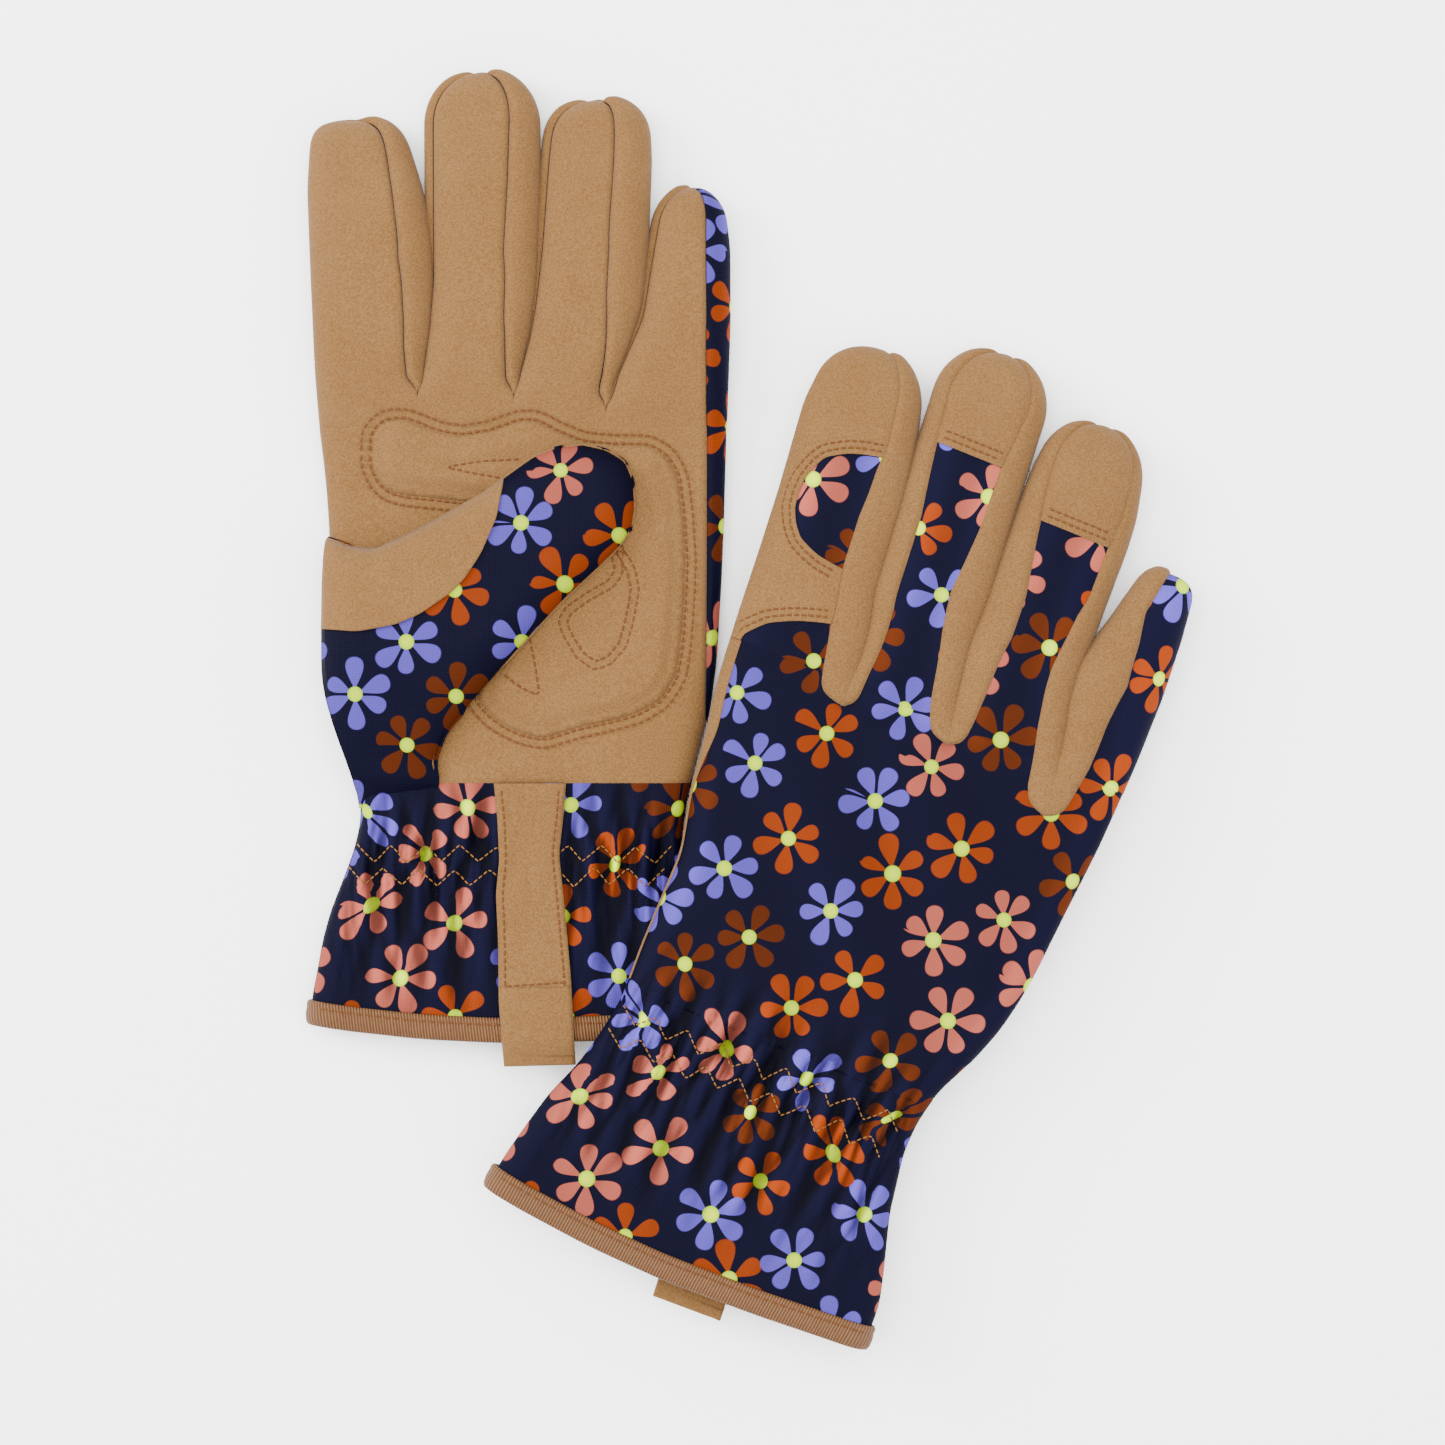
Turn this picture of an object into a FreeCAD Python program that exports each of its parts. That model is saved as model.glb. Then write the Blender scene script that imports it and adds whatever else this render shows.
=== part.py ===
import FreeCAD, Part
import math
import os

# A pair of women's gardening gloves with suede palms and printed fabric backs, in millimetres.
# Each glove is drawn in its own plan: x towards the little finger, y towards the fingertips, with the
# middle of the wrist at the origin. Depth is 0 on the back of the hand and grows towards the palm.
# The left glove lies palm up, so its depth is its height. The right glove lies back up, turned a
# little clockwise, with its cuff resting on the left glove's cuff and its thumb folded under its palm.

V = FreeCAD.Vector

# Fabric thicknesses and fits.
SUEDE = 1.2
PRINT = 0.8
GUSSET = 1.0
ELASTIC = 0.6
THREAD_WIDTH = 0.6
THREAD_DEPTH = 0.25
BINDING = 1.2
BODY_GAP = 0.3
KNUCKLE_GAP = 1.4
MOUTH_SHIFT = 1.2
FAR = 300.0

# Depths of the flat glove, over the outside.
HAND_DEPTH = 8.0
FINGER_DEPTH = 12.0
THUMB_DEPTH = 7.6
PAD_DEPTH = 1.5

# Lengths along the glove.
KNUCKLE_Y = 107.8
HEEL_Y = 18.6
HEM_Y = -39.6
BINDING_HEIGHT = 6.2
HEM_BOW = 2.8

# Half widths across the glove, thumb side first.
HEM_LEFT, HEM_RIGHT = -51.7, 50.4
KNUCKLE_LEFT, KNUCKLE_RIGHT = -49.2, 52.5
PRINT_STRIP_X = 47.8

# Fingers: corners (x, length beyond the knuckle line, corner radius) from the root on the thumb side
# round the tip and back, where the tip cap starts on the back, and the root's two sides.
INDEX_SADDLE = 11.2
FINGERS = {
    "index": {
        "roots": (-49.2, -25.2),
        "corners": [(-52.4, 52.2, 20), (-51.5, 77.2, 8), (-33, 77.4, 9), (-26.5, 64.2, 16),
                    (-22.2, 38.2, 20), (-25.2, 17.2, 12)],
        "cap": 53.7,
    },
    "middle": {
        "roots": (-24.0, -1.2),
        "corners": [(-24.0, 17.2, 12), (-21.2, 38.2, 20), (-22.3, 78.2, 8), (-18, 89.6, 10),
                    (0.5, 89.4, 9), (4.8, 76.2, 9), (3.7, 37.2, 20), (-1.2, 17.2, 12)],
        "cap": 64.2,
    },
    "ring": {
        "roots": (0.0, 22.6),
        "corners": [(0.0, 17.2, 12), (4.9, 37.2, 20), (7.6, 76.2, 8), (13, 82.4, 8), (28.5, 82.4, 8),
                    (32.9, 73.2, 9), (31.4, 42.2, 20), (29.4, 31.7, 12), (22.6, 14.2, 10)],
        "cap": 56.2,
    },
    "little": {
        "roots": (24.0, 52.5),
        "corners": [(24.0, 11.7, 10), (31.0, 29.2, 12), (33.2, 44.2, 14), (35, 54.2, 6),
                    (42, 60.6, 5), (47.5, 60.4, 5), (53.4, 48.2, 10), (53.6, 22.2, 20)],
        "cap": None,
    },
}

# Thumb, folded flat across the palm: the free end, and the root of each glove.
THUMB_FREE_END = [(-2.8, 95.8, 6), (9, 103.4, 10), (24, 103.0, 8), (30.0, 94, 6), (28.8, 81, 6),
                  (12.2, 65.5, 20), (-4.8, 46.8, 20)]
THUMB_ROOT = {
    "left": [(-22, 27, 4), (-38, 27, 5), (-46, 38, 6), (-46, 80, 2), (-35, 77.6, 8)],
    "right": [(-17, 29, 2), (-37, 77, 3)],
}
THUMB_OPEN_SIDE = {"left": V(-1, 0, 0), "right": V(-0.92, -0.38, 0)}
WEB_SEAM = [(-60, 57), (-38, 57), (-16, 66.2), (-4.2, 85), (-2.8, 110), (-60, 110)]

# Foam pad sewn to the palm, its corners (x, length beyond the knuckle line, corner radius), with a
# double row of stitches inside its edge.
PAD_CORNERS = [(-36, -0.8, 6), (-6, -3.8, 8), (40, -3.3, 9), (42.5, -45.8, 12), (30, -72.8, 12),
               (2, -77.8, 8), (-9, -68.8, 4), (12, -51.8, 6), (16, -17.8, 8), (-36, -16.3, 7)]
STITCH_INSET = 1.2
STITCH_SPACING = 2.0

# Gathered wrist: an elastic band inside, held by two rows of zigzag stitching.
ELASTIC_LOW, ELASTIC_HIGH = -9.0, 6.0
ZIGZAG_ROWS = (1.5, -3.6)
ZIGZAG_PITCH = 8.75
ZIGZAG_HEIGHT = 4.5
ZIGZAG_LEFT, ZIGZAG_RIGHT = -39.5, 40.5

# Pull tab: a suede strap sewn down the palm side of the cuff, with a loose tail past the hem.
TAB_WIDTH = 17.0
TAB_TOP_X, TAB_END_X = 3.5, 5.2
TAB_SEWN_ABOVE_HEM = 8.1
TAB_PAST_BINDING = 5.7
TAB_GAP = 0.5
TAB_SEWN_Y = HEM_Y + TAB_SEWN_ABOVE_HEM
TAB_END_Y = HEM_Y - BINDING_HEIGHT - TAB_PAST_BINDING

# Where the right glove lies beside the left one.
RIGHT_TURN = -22.0
RIGHT_X, RIGHT_Y = 56.3, -62.0
THUMB_LOW = HAND_DEPTH + PAD_DEPTH + BODY_GAP
RIGHT_LIFT = max(PAD_DEPTH + BODY_GAP + THUMB_DEPTH, HAND_DEPTH + SUEDE + BODY_GAP)
RIGHT_TOP = RIGHT_LIFT + HAND_DEPTH
SIDES = ("left", "right")


def outline(corners):
    """Closed plan face: straight runs joined by tangent arcs of each corner's own radius."""
    points = [V(x, y, 0) for x, y, radius in corners]
    edges = []
    ends = []
    for place, (x, y, radius) in enumerate(corners):
        corner = points[place]
        back = (points[place - 1] - corner).normalize()
        ahead = (points[(place + 1) % len(points)] - corner).normalize()
        half = 0.5 * back.getAngle(ahead)
        straight = abs(math.pi / 2 - half) < 1e-3
        if radius == 0 or straight:
            ends.append((corner, None, corner))
            continue
        reach = radius / math.tan(half)
        middle = corner + (back + ahead).normalize() * (radius / math.sin(half) - radius)
        ends.append((corner + back * reach, middle, corner + ahead * reach))
    for place, (start, middle, finish) in enumerate(ends):
        if middle is not None:
            edges.append(Part.Arc(start, middle, finish).toShape())
        following = ends[(place + 1) % len(ends)][0]
        if finish.distanceToPoint(following) > 1e-6:
            edges.append(Part.LineSegment(finish, following).toShape())
    return Part.Face(Part.Wire(edges))


def inset(face, distance):
    """The plan face shrunk by a wall's thickness."""
    return face.makeOffset2D(-distance)


def layer(face, low, high):
    """A flat sheet: the plan face between two depths."""
    sheet = face.extrude(V(0, 0, high - low))
    sheet.translate(V(0, 0, low))
    return sheet


def band(low_y, high_y):
    """Everything between two lines across the glove, to cut sheets with."""
    return Part.makeBox(FAR, high_y - low_y, FAR, V(-FAR / 2, low_y, -FAR / 2))


def walled(face, wall, low, high, open_side):
    """A wall round the outline, left open at the side that the vector points to."""
    hollow = inset(face, wall)
    mouth = hollow.copy()
    mouth.translate(open_side * (MOUTH_SHIFT * wall))
    return layer(face, low, high).cut(layer(hollow, low, high)).cut(layer(mouth, low, high))


def hand_face():
    """Plan of the hand and cuff, from the binding to the knuckles."""
    return outline([
        (HEM_LEFT, HEM_Y, 0), (-48.4, -23, 30), (-39.6, 4, 20), (-38.4, 15, 12), (-48.8, 46, 12),
        (-47.0, 80, 40),
        (KNUCKLE_LEFT, KNUCKLE_Y, 0), (KNUCKLE_RIGHT, KNUCKLE_Y, 0), (50.4, 52, 60),
        (40.8, 4, 30), (HEM_RIGHT, HEM_Y, 0)])


def beyond_knuckles(corners):
    """Corners measured from the knuckle line, moved into the glove's plan."""
    return [(x, KNUCKLE_Y + length, radius) for x, length, radius in corners]


def finger_face(name):
    """Plan of one finger from just past the knuckle line to its tip."""
    low_side, high_side = FINGERS[name]["roots"]
    corners = [(low_side, KNUCKLE_GAP, 0)] + FINGERS[name]["corners"] + [(high_side, KNUCKLE_GAP, 0)]
    return outline(beyond_knuckles(corners))


def zigzag(mid_y):
    """One row of zigzag thread across the wrist, as a flat band."""
    count = int((ZIGZAG_RIGHT - ZIGZAG_LEFT) / (ZIGZAG_PITCH / 2))
    swing = ZIGZAG_HEIGHT / 2
    upper = []
    for step in range(count + 1):
        height = swing if step % 2 else -swing
        upper.append(V(ZIGZAG_LEFT + step * ZIGZAG_PITCH / 2, mid_y + height + THREAD_WIDTH / 2, 0))
    lower = [point - V(0, THREAD_WIDTH, 0) for point in reversed(upper)]
    return Part.Face(Part.makePolygon(upper + lower + [upper[0]]))


def wrist_stitching():
    """Zigzag rows on both faces of the wrist, sunk into the fabric."""
    rows = []
    for mid_y in ZIGZAG_ROWS:
        rows.append(layer(zigzag(mid_y), 0, THREAD_DEPTH))
        rows.append(layer(zigzag(mid_y), HAND_DEPTH - THREAD_DEPTH, HAND_DEPTH))
    return Part.makeCompound(rows)


def pad_stitching(pad):
    """Two rows of thread that follow the pad's edge, sunk into its face."""
    rows = []
    for distance in (STITCH_INSET, STITCH_INSET + STITCH_SPACING):
        ring = inset(pad, distance).cut(inset(pad, distance + THREAD_WIDTH))
        top = HAND_DEPTH + PAD_DEPTH
        rows.append(layer(ring, top - THREAD_DEPTH, top))
    return Part.makeCompound(rows)


def hem_binding():
    """Folded ribbed tape round the hem: a flat tube with a slightly bowed lower edge."""
    low = HEM_Y - BINDING_HEIGHT
    left, right = V(HEM_LEFT, HEM_Y, 0), V(HEM_RIGHT, HEM_Y, 0)
    left_low, right_low = V(HEM_LEFT, low + HEM_BOW, 0), V(HEM_RIGHT, low + HEM_BOW, 0)
    bow = Part.Arc(left_low, V((HEM_LEFT + HEM_RIGHT) / 2, low, 0), right_low)
    sides = [Part.LineSegment(right_low, right), Part.LineSegment(right, left),
             Part.LineSegment(left, left_low)]
    face = Part.Face(Part.Wire([bow.toShape()] + [side.toShape() for side in sides]))
    mouth_width = HEM_RIGHT - HEM_LEFT - 2 * BINDING
    mouth_height = HAND_DEPTH - 2 * BINDING
    mouth = Part.makeBox(mouth_width, 4 * BINDING_HEIGHT, mouth_height,
                         V(HEM_LEFT + BINDING, HEM_Y - 3 * BINDING_HEIGHT, BINDING))
    return layer(face, 0, HAND_DEPTH).cut(mouth)


def strap(high_y, low_y):
    """A length of the pull tab, leaning slightly as it runs from the heel to past the hem."""
    lean = (TAB_END_X - TAB_TOP_X) / (TAB_END_Y - HEEL_Y)
    high_x = TAB_TOP_X + lean * (high_y - HEEL_Y)
    low_x = TAB_TOP_X + lean * (low_y - HEEL_Y)
    half = TAB_WIDTH / 2
    points = [V(low_x - half, low_y, 0), V(low_x + half, low_y, 0),
              V(high_x + half, high_y, 0), V(high_x - half, high_y, 0)]
    face = Part.Face(Part.makePolygon(points + points[:1]))
    return layer(face, HAND_DEPTH, HAND_DEPTH + SUEDE)


def hand_parts():
    """The hand's own pieces: panels, pads, wrist, binding and the sewn part of the pull tab."""
    whole = hand_face()
    palm_zone = band(HEEL_Y, KNUCKLE_Y + KNUCKLE_GAP)
    strip_zone = Part.makeBox(FAR, FAR, FAR, V(PRINT_STRIP_X, HEEL_Y, 0))
    stitches = wrist_stitching()
    top_sheet = layer(whole, HAND_DEPTH - SUEDE, HAND_DEPTH).common(palm_zone)
    palm_panel = top_sheet.cut(strip_zone)
    wrist_panel = layer(whole, HAND_DEPTH - PRINT, HAND_DEPTH).cut(palm_zone).cut(stitches)
    hollow = inset(whole, GUSSET)
    core = layer(hollow, PRINT, HAND_DEPTH - PRINT)
    shell = layer(whole, 0, HAND_DEPTH - PRINT).cut(core)
    for way in (1, -1):
        mouth = core.copy()
        mouth.translate(V(0, way * MOUTH_SHIFT * GUSSET, 0))
        shell = shell.cut(mouth)
    back_panel = shell.cut(palm_panel).fuse(top_sheet.common(strip_zone)).cut(stitches)
    wrist = band(ELASTIC_LOW, ELASTIC_HIGH)
    inner = layer(inset(whole, GUSSET + ELASTIC), PRINT + ELASTIC, HAND_DEPTH - PRINT - ELASTIC)
    elastic = core.common(wrist).cut(inner)
    pad = outline(beyond_knuckles(PAD_CORNERS))
    threads = pad_stitching(pad)
    return {
        "palm_panel": palm_panel,
        "back_panel": back_panel.removeSplitter(),
        "wrist_panel": wrist_panel,
        "wrist_elastic": elastic,
        "wrist_stitching": stitches,
        "palm_pads": layer(pad, HAND_DEPTH, HAND_DEPTH + PAD_DEPTH).cut(threads),
        "pad_stitching": threads,
        "cuff_binding": hem_binding(),
        "pull_tab": strap(HEEL_Y, TAB_SEWN_Y),
    }


def finger_parts(name):
    """One finger: suede palm side, gusset wall, printed back, and a suede cap where it has one."""
    face = finger_face(name)
    cap = FINGERS[name]["cap"]
    back = layer(face, 0, PRINT)
    parts = {
        name + "_palm_side": layer(face, FINGER_DEPTH - SUEDE, FINGER_DEPTH),
        name + "_gusset": walled(face, GUSSET, PRINT, FINGER_DEPTH - SUEDE, V(0, -1, 0)),
    }
    if cap is not None:
        past_cap = band(KNUCKLE_Y + cap, KNUCKLE_Y + 2 * cap)
        parts[name + "_tip_cap"] = back.common(past_cap)
        back = back.cut(past_cap)
    if name == "index":
        short_of_window = band(KNUCKLE_Y, KNUCKLE_Y + INDEX_SADDLE)
        parts["index_saddle"] = back.common(short_of_window)
        back = back.cut(short_of_window)
    parts[name + "_back"] = back
    return parts


def thumb_parts(side):
    """The folded thumb: suede against the palm, and a printed back with a suede web patch."""
    face = outline(THUMB_ROOT[side] + THUMB_FREE_END)
    low, high = THUMB_LOW, THUMB_LOW + THUMB_DEPTH
    web_points = [V(x, y, 0) for x, y in WEB_SEAM]
    web_zone = layer(Part.Face(Part.makePolygon(web_points + web_points[:1])), low, high)
    top = layer(face, high - PRINT, high)
    wall = walled(face, GUSSET, low + SUEDE, high - PRINT, THUMB_OPEN_SIDE[side])
    return {
        "thumb_palm_side": layer(face, low, low + SUEDE),
        "thumb_back": top.cut(web_zone).fuse(wall),
        "thumb_web_patch": top.common(web_zone),
    }


def droop():
    """How far the right glove's fingers sink below its hand, in degrees, to reach the table."""
    reach = max(corner[1] for corner in FINGERS["middle"]["corners"])
    return math.degrees(math.asin((RIGHT_TOP - FINGER_DEPTH) / reach))


def glove(side):
    """All pieces of one glove in its own plan, with the right glove's fingers let down."""
    parts = hand_parts()
    parts["pull_tab_tail"] = strap(TAB_SEWN_Y - TAB_GAP, TAB_END_Y)
    parts.update(thumb_parts(side))
    for name in FINGERS:
        for piece, shape in finger_parts(name).items():
            if side == "right":
                shape.rotate(V(0, KNUCKLE_Y, 0), V(1, 0, 0), droop())
            parts[piece] = shape
    return parts


def lay_down(shape, side):
    """From the glove's own plan to the table: the right glove is turned over and set beside."""
    if side == "left":
        return shape
    turned = shape.mirror(V(0, 0, 0), V(0, 0, 1))
    turned.translate(V(0, 0, RIGHT_TOP))
    turned.rotate(V(0, 0, 0), V(0, 0, 1), RIGHT_TURN)
    turned.translate(V(RIGHT_X, RIGHT_Y, 0))
    return turned


def build():
    """Every node of the pair, with the origin under the middle of the pair."""
    nodes = {}
    for side in SIDES:
        for piece, shape in glove(side).items():
            nodes[side + "_" + piece] = lay_down(shape, side)
    box = Part.makeCompound(list(nodes.values())).BoundBox
    middle = V(-box.Center.x, -box.Center.y, -box.ZMin)
    for shape in nodes.values():
        shape.translate(middle)
    return nodes, middle


os.makedirs("parts", exist_ok=True)
NODES, ORIGIN = build()
for node, shape in NODES.items():
    shape.exportStep("parts/" + node + ".step")
print(len(NODES), "nodes written")
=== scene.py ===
# %% [markdown]
# # A pair of gardening gloves
# Suede palms, printed backs, a gathered wrist and a bound hem. The left glove lies palm up and the right
# one back up, with its cuff on the left glove's cuff. Everything here is measured in millimetres in the
# glove's own plan: x towards the little finger, y towards the fingertips, and a depth that is 0 on the
# back of the hand and grows towards the palm. One last step carries each point to its place in metres.

import math

import bmesh
import bpy
import numpy as np
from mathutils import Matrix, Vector
from mathutils.geometry import delaunay_2d_cdt


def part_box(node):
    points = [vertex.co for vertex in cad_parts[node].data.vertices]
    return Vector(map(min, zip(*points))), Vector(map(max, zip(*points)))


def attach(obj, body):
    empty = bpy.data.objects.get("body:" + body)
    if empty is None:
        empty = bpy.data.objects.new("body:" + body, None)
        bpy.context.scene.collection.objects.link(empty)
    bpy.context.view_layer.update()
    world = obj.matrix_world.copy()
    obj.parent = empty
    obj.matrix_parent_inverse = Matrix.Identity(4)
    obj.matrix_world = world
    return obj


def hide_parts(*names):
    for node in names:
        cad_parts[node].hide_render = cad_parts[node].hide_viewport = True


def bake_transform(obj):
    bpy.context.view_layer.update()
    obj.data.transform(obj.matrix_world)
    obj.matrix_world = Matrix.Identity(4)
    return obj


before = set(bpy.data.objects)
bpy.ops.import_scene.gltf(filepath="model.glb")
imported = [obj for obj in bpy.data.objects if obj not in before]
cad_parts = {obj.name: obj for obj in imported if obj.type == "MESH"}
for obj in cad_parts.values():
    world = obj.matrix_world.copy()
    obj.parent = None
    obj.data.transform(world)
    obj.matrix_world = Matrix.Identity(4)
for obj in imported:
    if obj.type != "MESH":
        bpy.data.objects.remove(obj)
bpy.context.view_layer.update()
MM = 0.001
SIDES = ("left", "right")
FINGERS = ("index", "middle", "ring", "little")
rng = np.random.default_rng(7)

# %% [markdown]
# Where each glove lies. The left cuff's box gives the left plan's origin. The right glove is turned a
# little clockwise and upside down, so its depth counts down from the top of its cuff, and its fingers
# droop to the table. Carrying points there by hand keeps one drawing for both gloves.

# %% From the glove's plan to the table
CUFF_CORNER = (-51.7, -45.8)
RIGHT_TURN = math.radians(-22.0)
RIGHT_PLACE = (56.3, -62.0)
DROOP = math.tan(math.radians(3.52))
DROOP_FROM, DROOP_WHOLE = 98.0, 118.0
SOFT = 0.45
low_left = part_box("left_cuff_binding")[0]
ORIGIN = (low_left.x / MM - CUFF_CORNER[0], low_left.y / MM - CUFF_CORNER[1])
RIGHT_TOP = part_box("right_cuff_binding")[1].z / MM


def rested(height):
    """Cloth that would sink into the table is pressed flat on it: soft * log(1 + e^(height / soft))."""
    return SOFT * np.logaddexp(0, height / SOFT)


def to_table(side, points):
    """Left: the plan is shifted. Right: the plan is turned and shifted, and height = top - depth, less a
    droop that starts as a parabola and goes on as a straight slope along the fingers."""
    x, y, depth = points[..., 0], points[..., 1], points[..., 2]
    if side == "left":
        return np.stack([x + ORIGIN[0], y + ORIGIN[1], rested(depth)], -1) * MM
    bend = DROOP_WHOLE - DROOP_FROM
    along = np.clip(y - DROOP_FROM, 0, bend)
    drop = DROOP * (along ** 2 / (2 * bend) + np.maximum(y - DROOP_WHOLE, 0))
    c, s = math.cos(RIGHT_TURN), math.sin(RIGHT_TURN)
    X = c * x - s * y + RIGHT_PLACE[0] + ORIGIN[0]
    Y = s * x + c * y + RIGHT_PLACE[1] + ORIGIN[1]
    return np.stack([X, Y, rested(RIGHT_TOP - depth - drop)], -1) * MM


print("left plan's origin", [round(v, 2) for v in ORIGIN], "right glove's top", round(RIGHT_TOP, 2))

# %% [markdown]
# The camera looks straight down on the pair, the lamps are large and soft, and the floor is plain white
# paper.

# %% Camera, floor and lamps
VIEW_WIDTH = 361.25
AIM = (51.6 + ORIGIN[0], 34.4 + ORIGIN[1])
camera = bpy.data.objects.new("camera", bpy.data.cameras.new("camera"))
bpy.context.scene.collection.objects.link(camera)
LENS, SENSOR, GLOVE_TOP = 85, 36, 0.008
camera.data.lens, camera.data.sensor_width = LENS, SENSOR
camera.data.clip_end = 20
camera.location = (AIM[0] * MM, AIM[1] * MM, VIEW_WIDTH * LENS / SENSOR * MM + GLOVE_TOP)
bpy.context.scene.camera = camera

FLOOR, FLOOR_Z = 4.0, -0.0004
corners = [(x * FLOOR, y * FLOOR, FLOOR_Z) for x, y in ((-1, -1), (1, -1), (1, 1), (-1, 1))]
floor = bpy.data.objects.new("floor", bpy.data.meshes.new("floor"))
floor.data.from_pydata(corners, [], [(0, 1, 2, 3)])
bpy.context.scene.collection.objects.link(floor)
paper = bpy.data.materials.new("paper")
paper.use_nodes = True
paper.node_tree.nodes["Principled BSDF"].inputs["Base Color"].default_value = (0.98, 0.98, 0.98, 1)
paper.node_tree.nodes["Principled BSDF"].inputs["Roughness"].default_value = 0.9
floor.data.materials.append(paper)

LAMPS = {"above": ((-0.1, 0.3, 1.5), 1.6, 52), "left": ((-1.3, 0.5, 0.8), 0.7, 44),
         "right": ((1.2, -0.6, 0.9), 1.0, 14)}
for name, (place, size, power) in LAMPS.items():
    lamp = bpy.data.objects.new(name, bpy.data.lights.new(name, "AREA"))
    lamp.data.size, lamp.data.energy = size, power
    lamp.location = place
    lamp.rotation_euler = (-Vector(place)).to_track_quat("-Z", "Y").to_euler()
    bpy.context.scene.collection.objects.link(lamp)
world = bpy.data.worlds.new("studio")
bpy.context.scene.world = world
world.use_nodes = True
world.node_tree.nodes["Background"].inputs["Color"].default_value = (1, 1, 1, 1)
world.node_tree.nodes["Background"].inputs["Strength"].default_value = 2.5
print("camera stands", round(camera.location.z, 3), "m up")

# %% [markdown]
# The finishes. Suede is a dull brushed nap with a fine speckle. The print is a knitted cloth with loose
# rows of six-petalled flowers. The binding is ribbed, and the threads are twisted. All are made of nodes,
# so they are sharp at any distance.

# %% Small helpers for node trees
GAIN, RICHNESS = 0.24, 1.4


def linear(*rgb):
    """A colour given as 0-255 screen values, in linear light, deepened for the bright studio."""
    c = np.array(rgb) / 255.0
    light = np.where(c < 0.04045, c / 12.92, ((c + 0.055) / 1.055) ** 2.4)
    grey = light.mean()
    return tuple(np.clip(GAIN * (grey + RICHNESS * (light - grey)), 0.0006, 1)) + (1,)


class Tree:
    """A short way to write sums in a material: each call adds one node and gives its output."""

    def __init__(self, name):
        self.material = bpy.data.materials.new(name)
        self.material.use_nodes = True
        self.nodes, self.links = self.material.node_tree.nodes, self.material.node_tree.links
        self.shader = self.nodes["Principled BSDF"]

    def put(self, kind, inputs=(), **settings):
        """Adds a node, sets its settings, and links or sets each input."""
        node = self.nodes.new(kind)
        for key, value in settings.items():
            setattr(node, key, value)
        for socket, value in dict(inputs).items():
            if hasattr(value, "is_output"):
                self.links.new(value, node.inputs[socket])
            else:
                node.inputs[socket].default_value = value
        return node

    def sum(self, operation, *values):
        return self.put("ShaderNodeMath", enumerate(values), operation=operation).outputs[0]

    def noise(self, vector, scale, detail=2.0):
        inputs = {"Vector": vector, "Scale": scale, "Detail": detail}
        return self.put("ShaderNodeTexNoise", inputs).outputs["Fac"]

    def vector(self, operation, one, other):
        return self.put("ShaderNodeVectorMath", {0: one, 1: other}, operation=operation).outputs[0]

    def mix(self, factor, one, other):
        node = self.put("ShaderNodeMix", {0: factor, 6: one, 7: other}, data_type="RGBA")
        return node.outputs[2]

    def ramp(self, value, low, high):
        """0 at low and 1 at high, held at both ends; low may be the larger."""
        return self.put("ShaderNodeMapRange", {"Value": value, "From Min": low, "From Max": high}).outputs[0]

    def bump(self, height, distance, strength=1.0):
        node = self.put("ShaderNodeBump", {"Height": height, "Distance": distance, "Strength": strength})
        self.links.new(node.outputs[0], self.shader.inputs["Normal"])

    def colour(self, output):
        self.links.new(output, self.shader.inputs["Base Color"])

    def set(self, **sockets):
        """Constants of the shader, named with _ for a space."""
        for name, value in sockets.items():
            self.shader.inputs[name.replace("_", " ")].default_value = value


# %% Suede


def suede_finish(name, light, dark):
    """Speckle = fine noise between two tans, over broad cloudy patches where the nap leans."""
    tree = Tree(name)
    place = tree.put("ShaderNodeTexCoord").outputs["Object"]
    fine = tree.noise(place, 2300, 3)
    cloud = tree.noise(place, 60, 4)
    speck = tree.ramp(fine, 0.36, 0.62)
    base = tree.mix(speck, dark, light)
    patch = tree.ramp(cloud, 0.3, 0.7)
    worn = tree.mix(patch, linear(160, 123, 90), linear(180, 143, 108))
    tree.colour(tree.mix(0.35, base, worn))
    tree.bump(fine, 0.00025, 0.55)
    tree.set(Roughness=0.95, Sheen_Weight=0.06, Sheen_Roughness=0.5)
    tree.set(Specular_IOR_Level=0.08)
    return tree.material


SUEDE = suede_finish("suede", linear(187, 149, 114), linear(146, 110, 78))

# %% [markdown]
# The print. Two layers of flowers sit on square cells, the second half a cell across from the first, so
# that neighbours are evenly but not regularly spaced. In each cell a random number shifts, turns and
# colours one flower. A petal is an egg whose width grows with the distance from the flower's middle.

# %% Printed knit
CELL = 27.4
SHIFT = 5.0
PETALS = 6
PETAL_MIDDLE, PETAL_HALF, PETAL_SPREAD = 4.9, 3.8, 0.365
EYE = 1.9
UV_UNIT = 100.0
WALE, COURSE = 0.55, 0.5
# Strength of the print's painted fold shading: a painted highlight on crests and painted shade in valleys.
FOLD_SHADE = 0.7
FLOWER_COLOURS = (linear(138, 128, 222), linear(172, 88, 8), linear(214, 132, 120), linear(108, 58, 34))
HEART_MIDDLE, HEART_RIM = (0.27, 0.36, 0.0006, 1), (0.17, 0.27, 0.0006, 1)


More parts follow.
